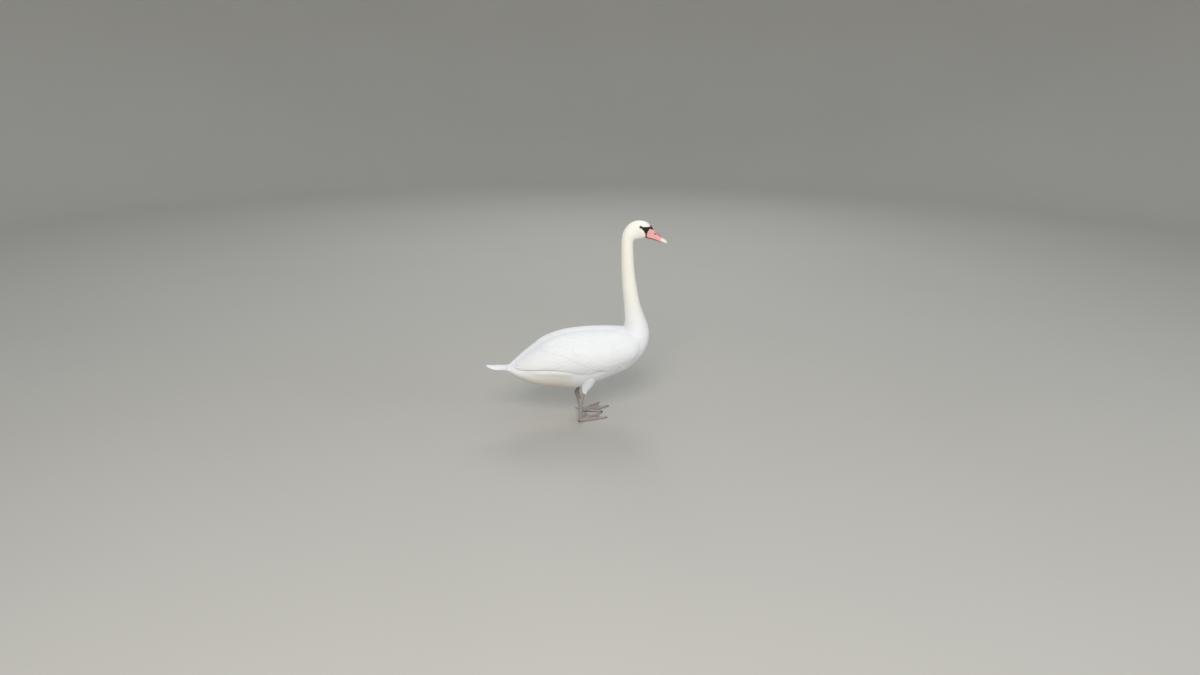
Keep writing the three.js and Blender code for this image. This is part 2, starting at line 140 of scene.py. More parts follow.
# Body plumage by ring: distance between feathers, their length, half width, and how far the root lies
# under the tip.
COAT = np.array(
    [
        (-1, 7, 24, 6, 1.5),
        (0, 8, 32, 8, 2.5),
        (1, 9.5, 45, 12, 5.0),
        (3, 9, 40, 12, 5.0),
        (6, 8.2, 36, 11, 4.5),
        (8, 7.2, 31, 9.5, 3.8),
        (10, 5.8, 26, 7.4, 3.0),
        (12, 4.3, 21, 5.2, 2.2),
        (14, 3.3, 17, 3.8, 1.6),
        (16, 2.9, 14, 3.2, 1.3),
        (18, 2.5, 11, 2.7, 1.0),
        (20, 2.1, 8.5, 2.2, 0.8),
        (22, 1.9, 7.0, 1.8, 0.6),
        (24, 1.7, 5.5, 1.5, 0.5),
    ]
)

# Groups of large wing feathers. Each pair runs from the group's first feather to its last: how far back
# from the bend the tip lies, its share of the way from the wing's upper edge to its lower one, length,
# how far the tip lies below the root as a share, half width, height over the wing's surface, and how much
# its outer edge stands up.
WING_GROUPS = {
    "primaries": {
        "count": 6, "run": (596, 622), "share": (0.75, 0.4), "length": (210, 230), "slant": (0.1, 0.05),
        "half": (10, 11), "lift": (-4.6, -3.8), "tilt": 0.7, "point": 1.6,
    },
    "secondaries": {
        "count": 15, "run": (262, 585), "share": (1.03, 0.72), "length": (180, 200), "slant": (0.34, 0.12),
        "half": (19, 21), "lift": (-2.7, -2.1), "tilt": 0.7, "point": 0.55,
    },
    "tertials": {
        "count": 9, "run": (560, 596), "share": (0.72, 0.12), "length": (225, 250), "slant": (0.16, 0.03),
        "half": (25, 22), "lift": (-1.8, -1.0), "tilt": 0.7, "point": 0.8,
    },
    "greater_coverts": {
        "count": 17, "run": (190, 430), "share": (1.0, 0.42), "length": (95, 115), "slant": (0.24, 0.1),
        "half": (15, 19), "lift": (-1.8, -1.3), "tilt": 0.3, "point": 0.5,
    },
    "median_coverts": {
        "count": 18, "run": (140, 345), "share": (1.0, 0.36), "length": (56, 70), "slant": (0.16, 0.08),
        "half": (13, 16), "lift": (-1.1, -0.7), "tilt": 0.3, "point": 0.5,
    },
}
GROUP_DROP = 2.0  # how far their roots lie under their tips
# The scapulars as rows by places, each pair from first to last. Each row lies further forward than the one
# above it, ahead in all. lift is a height just under the lowest row's, and how far the top one is over it.
SCAPULARS = {
    "rows": 7, "places": 15, "run": (70, 475), "share": (0.02, 0.4), "length": (42, 125), "half": (11, 22),
    "ahead": 26, "slant": 0.03, "lift": (-0.5, 0.6), "tilt": -0.3, "point": 0.5, "drop": 2.6,
}
LESSER = {"pitch": (6.5, 12), "length": (19, 36), "half": (6, 11.5), "drop": (3.0, 4.5)}
LESSER_REACH = (150, 400)  # how far back the small coverts reach at the wing's lower and upper edge

TAIL = {
    "root": (-268, 281), "tip": (-423, 295), "start": 24, "feathers": 20, "spread": 17, "shorter": 52,
    "arch": 16, "wide": 42, "half": 13, "opens": 110,  # run at which the fan has opened to its full spread
    "coverts": ((112, 1.9), (92, 2.6), (72, 3.3)),  # reach and height of each row of coverts on the fan
}

# Joints of each leg, with Y counted away from the middle, and the turn of its foot to its own side.
LEGS = {
    "right": {
        "hip": (30, 74, 262), "tuft": (23, 63, 153), "ankle": (4, 62, 104), "heel": (2, 61, 13), "turn": -35,
    },
    "left": {
        "hip": (38, 74, 262), "tuft": (29, 62, 153), "ankle": (13, 61, 103), "heel": (34, 60, 13), "turn": 6,
    },
}
THIGH = {"radii": (52, 47, 36, 25, 13), "end": 9.8, "past": 0.09, "bow": 10, "wide": 0.82, "skin": 5}
# Feathers of the thigh: the steps up it where their rows start and stop. Then, as a size at its lower end
# and what each step adds: their distance, length, half width, and how far the root lies under the tip.
THIGH_COAT = {
    "steps": (4.2, 0.55), "pitch": (3.8, 0.95), "length": (9, 5), "half": (4.6, 1), "drop": (3.2, 0.6),
}
SHIN = {"places": (1.5, 1, 0), "radii": (8.2, 8.0, 8.6), "wide": 0.84}
TARSUS = {
    "places": (-0.04, 0.08, 0.25, 0.55, 0.82, 1), "radii": (11.4, 12.4, 10.2, 9.6, 10.2, 11.4), "wide": 0.69,
}
TOES = {
    "inner": {"length": 92, "angle": -27, "root": 8.2, "tip": 4.6, "claw": 13, "lift": 0},
    "middle": {"length": 132, "angle": 3, "root": 9.2, "tip": 5.0, "claw": 15, "lift": 0},
    "outer": {"length": 122, "angle": 30, "root": 8.4, "tip": 4.6, "claw": 13, "lift": 0},
    "hind": {"length": 22, "angle": 158, "root": 4.6, "tip": 3.0, "claw": 9, "lift": 13},
}
KNUCKLE = 0.5  # how much a toe swells and narrows at its joints
SOLE = 0.86  # height of a toe's middle over the floor, as a share of its radius
WEB = {"thick": 2.2, "lift": 0.9, "reach": 0.94, "hollow": 0.13, "wave": 0.35, "beside": (7, 11), "below": 8}
# Scales: pitch and depth of the grooves between them, then where they start and end along shank or toe.
SHANK_SCALE = {"pitch": 5.2, "deep": 0.35, "from": (18, 24), "to": (-4, 4)}
TOE_SCALE = {"pitch": 4.4, "deep": 0.42, "from": 9, "past": 4, "below": 22, "wide": 0.95}
SCALE_GROOVE = 0.13  # half width of the groove between scales, as a share of their pitch
# A claw's places along it, as shares of its length apart from the first, in millimetres; its heights and
# radii there as shares of the toe's radius; and how high its point is.
CLAW = {
    "back": -3, "run": (0.2, 0.5, 0.8, 1.0), "height": (0.86, 1, 0.92, 0.62), "point": 1.2, "wide": 0.8,
    "radii": (0.74, 0.68, 0.5, 0.3, 0.12),
}

# Bill stations: top x and z, mouth x and z, half width, depth of the lower half.
BILL = np.array(
    [
        (350, 900, 329.5, 851, 16.8, 6.4),
        (359, 889.5, 344, 847, 16.0, 6.2),
        (371, 877.5, 361, 841.5, 15.0, 5.6),
        (384, 865, 378, 835.5, 14.3, 5.0),
        (397, 852.5, 394, 830.5, 14.0, 4.4),
        (410, 842, 409, 825.5, 13.8, 3.6),
        (421, 833.5, 421, 821.5, 11.6, 2.6),
        (427.5, 826, 427.5, 820.5, 5.5, 1.6),
    ]
)
LOWER_BILL = {"wide": 0.86, "stations": (-0.7, 6.9), "opens": 0.9, "gap": 0.5}
# The knob's reaches, in rings backwards, stations forwards and radians sideways, then its height and
# depth, how much its rim sinks and stands off, and the height of its wrinkles.
KNOB = {
    "back": 0.5, "ahead": 1.5, "wide": 0.85, "high": 2.6, "sunk": 2.5, "rim": 1.5, "off": 0.5,
    "wrinkle": 0.12,
}
NOSTRIL = {"at": (367, 865.5), "radii": (6.2, 2.2), "slope": -30, "deep": 3.2, "beside": 5}
LAMELLA = {"high": 0.16, "wide": 0.13, "per_station": 7.5}
PALATE = 1.4  # rise of the bill's hollow roof
TIP_REACH = (1.6, 0, -0.5)  # how far the tip's dome stands out
HORN_BACK = -1.6  # ring, counted from the bill's root, where the upper bill's horn starts under the skin
HORN_SUNK = 2.2  # how deep the horn lies there
HORN_PROUD = 0.3  # how far it stands off the face where it shows
HORN_MARGIN = 0.7  # width of the black margin round it
# The nail's middle and half length in stations, its half width in radians, then millimetres.
NAIL = {
    "at": 6.35, "half": 0.75, "wide": 0.85, "high": 1.35, "sunk": 0.35, "heart": (412, 0, 815), "core": 1.6,
}

# Bare skin of the face, seen from the side. Black skin lies below BROW, ahead of CHEEK and behind HORN;
# pink horn lies ahead of HORN. BROW is height by x, CHEEK and HORN are x by height.
BROW = np.array([(290, 900), (301, 904), (312, 903.5), (327, 901.5), (341, 900), (352, 899)])
CHEEK = np.array(
    [(846, 319), (854, 320), (863, 319.5), (872, 317), (880, 312.5), (888, 306), (897, 298), (905, 290)]
)
HORN = np.array(
    [(846, 322), (863, 323.5), (874, 326), (882, 330), (888, 336), (892, 343), (895, 353), (905, 380)]
)

SHIFT = (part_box("eye_right")[0].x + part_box("eye_right")[1].x) / 2 - EYE["at"][0] * MM


# ---------------------------------------------------------------- colours and settings
# Patterns by how many of their spots fit in a metre.
BLOTCHES = 22.0  # faint stains on the plumage, about 45 mm across
PEBBLES = 900.0  # of bare skin, about 1.1 mm
STREAKS = 120.0  # in the bill's horn, about 8 mm
SCALES = 400.0  # small ones of the leg, 2.5 mm
LEG_PATCHES = 60.0  # paler ones, about 17 mm
BARB = 1.6 * MM  # distance of drawn barbs, four times a real one's so that they show
# Where the plumage's tones start and where they are whole, as heights or places along X in metres.
# Above these heights the cool white of back and wings, a painted bluish cast of sky light, turns into the
# warm white of neck and head, partly real staining and partly painted warm light.
NECK_STAIN_AND_PAINTED_LIGHT = (0.42, 0.62)
# Below these heights, and behind REAR, the rear belly turns cream: partly real staining and partly painted
# shade under the body.
BELLY_STAIN_AND_PAINTED_SHADE = (0.3, 0.18)
REAR = (0.0, -0.1)
# The same for the bill's, from its ridge (0) to its edges (0.5), and from its root (0) to its tip (1).
BILL_TONES = {
    # ridge: the top of the bill darker along its ridge, painted shade.
    "ridge": ((0.38, 0.08), (0.14, 0.4)),
    "edge": ((0.487, 0.494), (0.85, 0.6)),
    "crown": ((0.2, 0.14), (0.2, 0.1)),
}
# Where the painted highlight at the tip, glare off the wet horn, starts and is whole along the slanted bill.
TIP_GLARE_HIGHLIGHT = (0.56, 0.8)
# Where pupil and iris end, by the angle from where the eye looks.
PUPIL_ENDS = (0.42, 0.5)
IRIS_ENDS = (0.9, 1.1)
# Minor sRGB tones that no setting changes.
DUSTY = "D9CBB2"
SHADED = "B9B4AA"
SHAFT = "E6DCC6"
PUPIL = "050403"
EYE_RIM = "0C0806"
CREASE = "4A3F40"
PALE_PATCH = "B9A7A0"
EYELID = "25201D"
# Painted highlight: the nail's pale cream stands for glare on its horn.
NAIL_GLARE = "D8CBB8"
ROOM = "E9EEF4"


def linear(code):
    """The linear colour of an sRGB hex code such as F4F2EA, with alpha 1."""
    parts = [int(code[i : i + 2], 16) / 255 for i in (0, 2, 4)]
    return [c / 12.92 if c <= 0.04045 else ((c + 0.055) / 1.055) ** 2.4 for c in parts] + [1.0]


def colour_property(name, description, code):
    """A colour setting with an sRGB hex code as its default."""
    return FloatVectorProperty(
        name=name, description=description, subtype="COLOR", size=4, min=0, max=1, default=linear(code)
    )


class PlumageSettings(PropertyGroup):
    """Colours and amount of the feathers."""

    # The back's cool tint is a painted bluish cast of sky light; the neck's warm tint is partly real
    # staining and partly painted warm light; the belly's cream is partly real staining and partly painted
    # shade.
    back: colour_property("Back and wings", "White of the wings and back", "F3F5F9")
    neck: colour_property("Neck and head", "White of the neck and head", "FCFAF0")
    belly: colour_property("Belly", "White of the rear belly", "EADFCF")
    density: FloatProperty(
        name="Density", description="Feathers per length of row", default=1.0, min=0.3, max=1.3
    )
    seed: IntProperty(name="Seed", description="Starts the random placing of feathers", default=7, min=0)


class FaceSettings(PropertyGroup):
    """Colours of the bill, the bare skin and the eyes."""

    horn: colour_property("Bill", "Pink horn of the bill", "F4B4AF")
    # The ridge colour paints shade along the top of the bill, and also draws the real streaks in the horn.
    ridge: colour_property("Bill ridge", "Darker horn along the top of the bill", "C8626C")
    # The pale tip is a painted highlight of glare off the wet horn.
    tip: colour_property("Bill tip", "Pale horn near the tip", "FBF1E4")
    black: colour_property("Bare skin", "Black skin between bill and eye", "17130F")
    iris: colour_property("Iris", "Dark brown of the iris", "3A1E0E")


class LegSettings(PropertyGroup):
    """Colours of the legs and feet."""

    skin: colour_property("Leg skin", "Pinkish grey scaly skin", "A39C97")
    web: colour_property("Web", "Darker skin between the toes", "857B77")
    claw: colour_property("Claw", "Dark horn of the claws", "3B332E")
    voxel: FloatProperty(
        name="Leg detail",
        description="Grain of the fused leg",
        default=MM,
        min=0.5 * MM,
        max=3 * MM,
        unit="LENGTH",
    )


class StageSettings(PropertyGroup):
    """The floor and the light."""

    floor: colour_property("Floor", "Plain pale floor", "BCBAB4")
    radius: FloatProperty(
        name="Floor radius", description="Half the floor's width", default=9.0, unit="LENGTH"
    )
    key: FloatProperty(name="Key light", description="Power of the large soft light in watts", default=212.0)


SETTINGS = {
    "swan_plumage": PlumageSettings,
    "swan_face": FaceSettings,
    "swan_legs": LegSettings,
    "swan_stage": StageSettings,
}


# ---------------------------------------------------------------- surfaces
def ramped(value, low, high):
    """0 up to low, 1 from high on, and straight between."""
    return np.clip((value - low) / (high - low), 0, 1)


def eased(share):
    """A share from 0 to 1 that starts and ends level: 3 share ** 2 - 2 share ** 3."""
    return share**2 * (3 - 2 * share)


def length_of(vectors):
    """Lengths of vectors along the last axis."""
    return np.linalg.norm(vectors, axis=-1)


def unit(vectors):
    """The vectors along the last axis at length 1."""
    return vectors / length_of(vectors)[..., None]


def circle(count):
    """count angles evenly round a whole turn, from 0 on."""
    return np.linspace(0, 2 * np.pi, count, endpoint=False)


def smooth_rows(rows, place):
    """Catmull-Rom curve through the rows at each place along them, carried on straight past both ends."""
    last = len(rows) - 1
    place = np.asarray(place, float)
    kept = np.clip(place, 0, last)
    first = np.minimum(kept.astype(int), last - 1)
    s = (kept - first)[..., None]
    padded = np.vstack([2 * rows[:1] - rows[1:2], rows, 2 * rows[-1:] - rows[-2:-1]])
    p0, p1, p2, p3 = (padded[first + k] for k in range(4))
    bend = 2 * p0 - 5 * p1 + 4 * p2 - p3 + s * (3 * (p1 - p2) + p3 - p0)
    curve = 0.5 * (2 * p1 + s * (p2 - p0 + s * bend))
    past = (place - kept)[..., None]
    return curve + past * np.where(past < 0, rows[1] - rows[0], rows[-1] - rows[-2])


def to_frame(points):
    """Points in the tables' millimetres as points of the frame, in metres."""
    return points * MM + np.array([SHIFT, 0, 0])


def to_table(points):
    """Points of the frame in the tables' millimetres."""
    return (points - np.array([SHIFT, 0, 0])) / MM


def body_surface(ring, angle, lift):
    """Trunk, neck and head in table millimetres: ellipses across the bird, one for each ring number, from
    the back line (angle 0) over the left side to the front line, each grown by lift."""
    ring = np.broadcast_to(ring, np.broadcast(ring, angle).shape)
    rows = np.moveaxis(smooth_rows(RINGS, ring + SLEEVE_RINGS), -1, 0)
    back_x, back_z, front_x, front_z, half, full = rows
    up_x, up_z = back_x - front_x, back_z - front_z
    span = np.hypot(up_x, up_z)
    reach = (0.5 + lift / span) * np.cos(angle)
    across = (half + lift) * np.sin(angle) * (1 + full * np.cos(angle))
    middle_x, middle_z = (back_x + front_x) / 2, (back_z + front_z) / 2
    return np.stack([middle_x + up_x * reach, across, middle_z + up_z * reach], -1)


WING_DENSE = smooth_rows(WING, np.linspace(0, len(WING) - 1, 300))


def wing_edges(ring):
    """The folded wing at a ring number: angles of its upper and lower edge in degrees, and its greatest
    depth."""
    return (np.interp(ring, WING_DENSE[:, 0], WING_DENSE[:, k]) for k in (1, 2, 3))


def wing_place(ring, angle):
    """Where a place of the body lies on the folded wing: its share of the way from the upper edge (0) to
    the lower one (1), the wing's greatest depth there, and the degrees from edge to edge."""
    upper, lower, depth = wing_edges(ring)
    share = (np.degrees(np.abs(angle)) - upper) / (lower - upper)
    return share, depth, lower - upper


def wing_swell(ring, angle, folded):
    """How far the folded wing lifts the surface: its rim, and its depth times 1 - |2 share - 1| **
    WING_ROUND. It sinks as a bell curve above and ahead of the wing. Past its lower edge it stays high
    where folded is true. Otherwise the lower half of the wing is left off behind its bend, so that the
    surface runs on under it."""
    share, lift, spread = wing_place(ring, angle)
    inside = np.clip(share, 0, 1)
    rim = np.minimum(WING_EDGE, lift)
    depth = WING_CLEARANCE + rim + (lift - rim) * (1 - np.abs(2 * inside - 1) ** WING_ROUND)
    above = np.minimum(share, 0) * spread / UPPER_SKIRT
    sink = above**2 + (np.maximum(ring - WING[-1, 0], 0) / END_SKIRT) ** 2
    if not folded:
        sink = sink + (np.maximum(WING[0, 0] - ring, 0) / END_SKIRT) ** 2
        below = np.exp(-((np.maximum(share - 1, 0) * spread / UPPER_SKIRT) ** 2))
        depth = depth * np.where(share < 0.5, 1, below * ramped(ring, *WING_BEND))
    return depth * np.exp(-sink)


def groove(ring, angle):
    """How far the surface draws in along the wing's lower edge: a bell curve across the edge."""
    share, _, spread = wing_place(ring, angle)
    return np.interp(ring, GROOVE[:, 0], GROOVE[:, 1]) * np.exp(-(((share - 1) * spread / GROOVE_WIDE) ** 2))


def wrapped(angle):
    """The same angle between -pi and pi."""
    return (angle + np.pi) % (2 * np.pi) - np.pi


def coat_surface(ring, angle, lift):
    """The outside of the plumage, in metres: the body's surface, lifted where the folded wings lie."""
    angle = wrapped(angle)
    lift = lift / MM + wing_swell(ring, angle, False) + groove(ring, angle)
    return to_frame(body_surface(ring, angle, lift))


def wing_surface(ring, angle, lift):
    """The outside of the folded wing in metres, carried on past its lower edge and its tip as high as its
    rim."""
    return to_frame(body_surface(ring, angle, lift / MM + wing_swell(ring, angle, True)))


def rod_surface(points, radii, wide):
    """A surface round a smooth line through points, in metres: p counts along the points, q turns round
    the line from its front over its left side, and wide narrows it along Y."""
    rows = np.column_stack([np.array(points, float), radii])

    def surface(p, q, lift):
        p, q = np.broadcast_arrays(p, q)
        place = smooth_rows(rows, p)
        ahead = smooth_rows(rows, p + 0.02)[..., :3] - smooth_rows(rows, p - 0.02)[..., :3]
        along = unit(ahead)
        across = unit(np.array([0, 1.0, 0]) - along * along[..., 1:2])
        up = np.cross(along, across)
        radius = (place[..., 3] + lift / MM)[..., None]
        turn = q[..., None]
        round_it = up * np.cos(turn) + across * np.sin(turn) * wide
        return to_frame(place[..., :3] + radius * round_it)

    return surface


def fan_surface(run, angle, lift):
    """The top of the tail's fan in metres: straight lines out of its root, angle degrees to the right of
    the middle one, that sink as the square of how far they lie to the side."""
    x, z = TAIL["root"]
    rise = (TAIL["tip"][1] - z) / (x - TAIL["tip"][0])
    turn = np.radians(angle)
    side = run * np.sin(turn)
    height = z + run * rise - TAIL["arch"] * (side / TAIL["wide"]) ** 2 + lift / MM
    return to_frame(np.stack([x - run * np.cos(turn), -side, height], -1))


def slopes(surface, p, q, lift=0.0):
    """How fast a surface's point moves with p and with q."""
    step = 1e-3
    along = (surface(p + step, q, lift) - surface(p - step, q, lift)) / (2 * step)
    across = (surface(p, q + step, lift) - surface(p, q - step, lift)) / (2 * step)
    return along, across


# ---------------------------------------------------------------- meshes
def make_object(name, points, faces, maps=None, fields=None, sharp=60):
    """A smooth-shaded mesh object at the origin. faces is a list of index arrays, one for each number of
    corners, maps holds UV maps and fields holds float attributes, both by vertex. Edges sharper than
    sharp degrees stay hard."""
    mesh = bpy.data.meshes.new(name)
    corners = np.concatenate([group.ravel() for group in faces]).astype(np.int32)
    sides = np.concatenate([np.full(len(group), group.shape[1]) for group in faces])
    starts = np.concatenate([[0], np.cumsum(sides)[:-1]]).astype(np.int32)
    mesh.vertices.add(len(points))
    mesh.vertices.foreach_set("co", points.astype(np.float32).ravel())
    mesh.loops.add(len(corners))
    mesh.loops.foreach_set("vertex_index", corners)
    mesh.polygons.add(len(sides))
    mesh.polygons.foreach_set("loop_start", starts)
    mesh.update(calc_edges=True)
    for map_name, values in (maps or {}).items():
        layer = mesh.uv_layers.new(name=map_name)
        layer.uv.foreach_set("vector", values[corners].astype(np.float32).ravel())
    for field_name, values in (fields or {}).items():
        field = mesh.attributes.new(field_name, "FLOAT", "POINT")
        field.data.foreach_set("value", values.astype(np.float32).ravel())
    mesh.polygons.foreach_set("use_smooth", np.ones(len(sides), bool))
    mesh.set_sharp_from_angle(angle=math.radians(sharp))
    made = bpy.data.objects.new(name, mesh)
    bpy.context.scene.collection.objects.link(made)
    return made


def loft(rings):
    """Points and faces of a closed skin over rings of points, an array of rings by sides by 3, each end
    closed with a fan. It faces outwards where a step along the rings crossed with a step round them
    points outwards."""
    count, sides = rings.shape[:2]
    points = np.concatenate([rings.reshape(-1, 3), rings[:1].mean(1), rings[-1:].mean(1)])
    i, j = np.meshgrid(np.arange(count - 1), np.arange(sides), indexing="ij")
    k = (j + 1) % sides
    corners = [i * sides + j, (i + 1) * sides + j, (i + 1) * sides + k, i * sides + k]
    quads = np.stack(corners, -1).reshape(-1, 4)
    j = np.arange(sides)
    k = (j + 1) % sides
    start = np.stack([np.full(sides, count * sides), j, k], -1)
    end = np.stack([np.full(sides, count * sides + 1), (count - 1) * sides + k, (count - 1) * sides + j], -1)
    return points, [quads, start, end]


def joined(parts):
    """Points and faces of several meshes as one."""
    points, faces, first = [], [], 0
    for part_points, part_faces in parts:
        points.append(part_points)
        faces += [group + first for group in part_faces]
        first += len(part_points)
    return np.concatenate(points), faces


def tube(points, radii, wide=1.0, sides=24, rows_per_point=8, dome=6):
    """A closed rod: the surface of rod_surface with half-round ends, whose rings shrink as a quarter
    circle."""
    surface = rod_surface(points, radii, wide)
    last = len(points) - 1
    turns = circle(sides)
    p = np.linspace(0, last, last * rows_per_point + 1)
    middle = surface(p[:, None], turns[None], 0.0)
    swing = np.linspace(0, np.pi / 2, dome, endpoint=False)[:, None, None]
    ends = []
    for at, way in ((0, -1), (last, 1)):
        ring = surface(np.full(sides, float(at)), turns, 0.0)
        centre = ring.mean(0)
        inner = surface(np.full(sides, at - way * 0.1), turns, 0.0).mean(0)
        out = unit(centre - inner)
        bulge = out * radii[at] * MM * min(1.0, wide + 0.1)
        ends.append(centre + (ring - centre) * np.cos(swing) + bulge * np.sin(swing))
    return loft(np.concatenate([ends[0][:0:-1], middle, ends[1][1:]]))


def fused(name, parts, voxel, smoothing):
    """Points, normals and triangles of overlapping closed meshes melted into one by a voxel remesh and
    smoothed."""
    rough = make_object(name, *joined(parts))
    remesh = rough.modifiers.new("Fuse", "REMESH")
    remesh.mode = "VOXEL"
    remesh.voxel_size = voxel
    smooth = rough.modifiers.new("Soften", "SMOOTH")
    smooth.iterations = smoothing
    finished = rough.evaluated_get(bpy.context.evaluated_depsgraph_get()).to_mesh()
    finished.calc_loop_triangles()
    arrays = []
    for items, name, kind in (
        (finished.vertices, "co", np.float32),
        (finished.vertex_normals, "vector", np.float32),
        (finished.loop_triangles, "vertices", np.int32),
    ):
        values = np.empty(len(items) * 3, kind)
        items.foreach_get(name, values)
        arrays.append(values.reshape(-1, 3))
    bpy.data.objects.remove(rough)
    return arrays


def place(piece, slot, material, *nodes):
    """Finishes a piece: its material, the body that it rides on and the solids that it stands for. Its slot
    is given but not used."""
    piece.data.materials.append(material)
    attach(piece, BODY)
    if nodes:
        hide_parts(*nodes)
    return piece


# ---------------------------------------------------------------- feathers
# Rows of points down a small feather and its half widths there, columns across, rows down a large one.
SMALL_SHARES = np.array([0.0, 0.42, 0.72, 0.92, 1.0])
SMALL_OUTLINE = np.array([0.4, 0.94, 1.0, 0.72, 0.22])
SMALL_COLUMNS = np.array([-1.0, 0.0, 1.0])
LARGE_COLUMNS = np.array([-1.0, -0.6, -0.09, 0.0, 0.09, 0.6, 1.0])
LARGE_SHARES = 1 - (1 - np.linspace(0, 1, 15)) ** 1.5
TIP_DIP = 0.3  # millimetres by which a small feather's tip bends down
VANE = {"thick": 0.45, "shaft": 0.35, "waver": 0.1}  # millimetres, of a quill; waver is in its height
LAP = 0.87  # distance of rows of feathers as a share of the distance in a row
UNEVEN = {"along": 0.3, "aside": 0.28}  # how far a root strays, as shares of that distance
PATCH = 0.003  # size of each feather's patch on the bake map


def vane_template(rows, columns, shell):
    """Faces of one feather: rows by columns of points on top, and under them either one flat strip
    between the edges, or a whole second layer where shell is true. Both layers share their edges."""
    top = np.arange(rows * columns).reshape(rows, columns)
    if shell:
        inner = rows * columns + np.arange(rows * (columns - 2)).reshape(rows, columns - 2)
        under = np.concatenate([top[:, :1], inner, top[:, -1:]], 1)
    else:
        under = top[:, [0, -1]]
    quads = [
        np.stack(corners, -1).reshape(-1, 4)
        for corners in (
            (top[:-1, :-1], top[:-1, 1:], top[1:, 1:], top[1:, :-1]),
            (under[:-1, :-1], under[1:, :-1], under[1:, 1:], under[:-1, 1:]),
        )
    ]
    root = np.concatenate([top[0, ::-1], under[0, 1:-1]])
    tip = np.concatenate([top[-1], under[-1, -2:0:-1]])
    return [np.concatenate(quads), np.stack([root, tip])]


def feathers(
    name, surface, unwrap, track, half, lift, columns, rng, tilt=0.0, camber=0.0, thick=0.0, ridge=0.0
):
    """One mesh of many feathers laid on a surface. track holds the places (p, q) down the middle of each
    feather, feathers by rows by 2; half is its half width and lift its height over the surface at each
    row. Across it, at w from -1 to 1, a point lies half * w along the surface at a right angle to the
    track, and lift + tilt * w - camber * w ** 2 over it, so that tilt raises one edge and camber sinks
    both. ridge raises the shaft. A feather that is thick has an underside of its own."""
    count, rows = half.shape
    p, q = track[..., 0], track[..., 1]
    tone = rng.normal(0, 1, count)
    step_p, step_q = np.gradient(p, axis=1), np.gradient(q, axis=1)
    along, across = slopes(surface, p, q, lift)
    e, f, g = (along * along).sum(-1), (along * across).sum(-1), (across * across).sum(-1)
    side_p = step_p * f + step_q * g
    side_q = -(step_p * e + step_q * f)
    size = np.sqrt(side_p**2 * e + 2 * side_p * side_q * f + side_q**2 * g)
    w = columns[None, None]
    offset = half[..., None] * w
    at_p = p[..., None] + offset * (side_p / size)[..., None]
    at_q = q[..., None] + offset * (side_q / size)[..., None]
    tilt, camber = (np.broadcast_to(value, (count,))[:, None, None] for value in (tilt, camber))
    narrow = half[..., None] / half.max(1)[:, None, None]
    height = lift[..., None] + narrow * (tilt * w - camber * w**2) + ridge * (w == 0)
    layers = [(surface(at_p, at_q, height), w)]
    if thick:
        core = w[..., 1:-1]
        sunk = height[..., 1:-1] - ridge * 2 * (core == 0) - thick
        layers.append((surface(at_p[..., 1:-1], at_q[..., 1:-1], sunk), core))
    middle = layers[0][0][:, :, len(columns) // 2]
    down = np.cumsum(length_of(np.diff(middle, axis=1, prepend=middle[:, :1])), 1)[..., None]
    points = np.concatenate([top.reshape(count, -1, 3) for top, _ in layers], 1)
    w_all, s_all = (
        np.concatenate([np.broadcast_to(v, top.shape[:3]).reshape(count, -1) for top, v in values], 1)
        for values in (layers, [(top, down) for top, _ in layers])
    )
    first = (np.arange(count) * points.shape[1])[:, None, None]
    template = vane_template(rows, len(columns), bool(thick))
    faces = [(group[None] + first).reshape(-1, group.shape[1]) for group in template]
    share = s_all / s_all.max(1, keepdims=True)
    patch = unwrap(p[:, 0], q[:, 0])[:, None] + PATCH * np.stack([w_all / 2, share - 0.5], -1)
    vane = np.stack([w_all * half.max(1)[:, None], s_all], -1)
    return make_object(
        name,
        points.reshape(-1, 3),
        faces,
        {"OFBake": patch.reshape(-1, 2), "Vane": vane.reshape(-1, 2)},
        {"tone": np.repeat(tone, points.shape[1])},
        sharp=50,
    )


def scatter(surface, start, stop, sizes, rng, density, around=(-np.pi, np.pi)):
    """Roots of feathers in rows round a surface from p = start down to p = stop, every other row moved on
    by half a place and each root a little out of line. sizes gives the distance between feathers at p in
    millimetres. Where rows crowd together, feathers are left out at random to keep the distance."""
    row, p, found = 0, start, []
    q = np.linspace(*around, 241)
    while p > stop:
        pitch = sizes(p) * MM / density
        along, across = slopes(surface, np.full(q.shape, p), q)
        spacing = length_of(along)
        steps = length_of((across[1:] + across[:-1]) / 2) * np.diff(q)
        distance = np.concatenate([[0], np.cumsum(steps)])
        count = max(3, round(distance[-1] / pitch))
        stagger = 0.5 * (row % 2) + rng.uniform(-UNEVEN["aside"], UNEVEN["aside"], count)
        at = np.interp((np.arange(count) + stagger) / count * distance[-1], distance, q)
        crowding = np.interp(at, q, spacing) / spacing.max()
        stray = rng.uniform(-UNEVEN["along"], UNEVEN["along"], count) * pitch / spacing.max()
        kept = rng.random(count) < crowding * 1.1
        found.append(np.stack([p + stray, at], -1)[kept])
        p -= LAP * pitch / spacing.max()
        row += 1
    return np.concatenate(found)


def walk(surface, roots, heading, length, shares):
    """Tracks of feathers that set out from roots towards lower p, turned by heading towards higher q, for
    the given length. Each stretch is walked in three short steps along the surface."""
    p, q = roots.T
    track = [roots]
    for share in np.diff(shares):
        for _ in range(3):
            along, across = slopes(surface, p, q)
            p = p - share * length / 3 * np.cos(heading) / length_of(along)
            q = q + share * length / 3 * np.sin(heading) / length_of(across)
        track.append(np.stack([p, q], -1))
    return np.stack(track, 1)


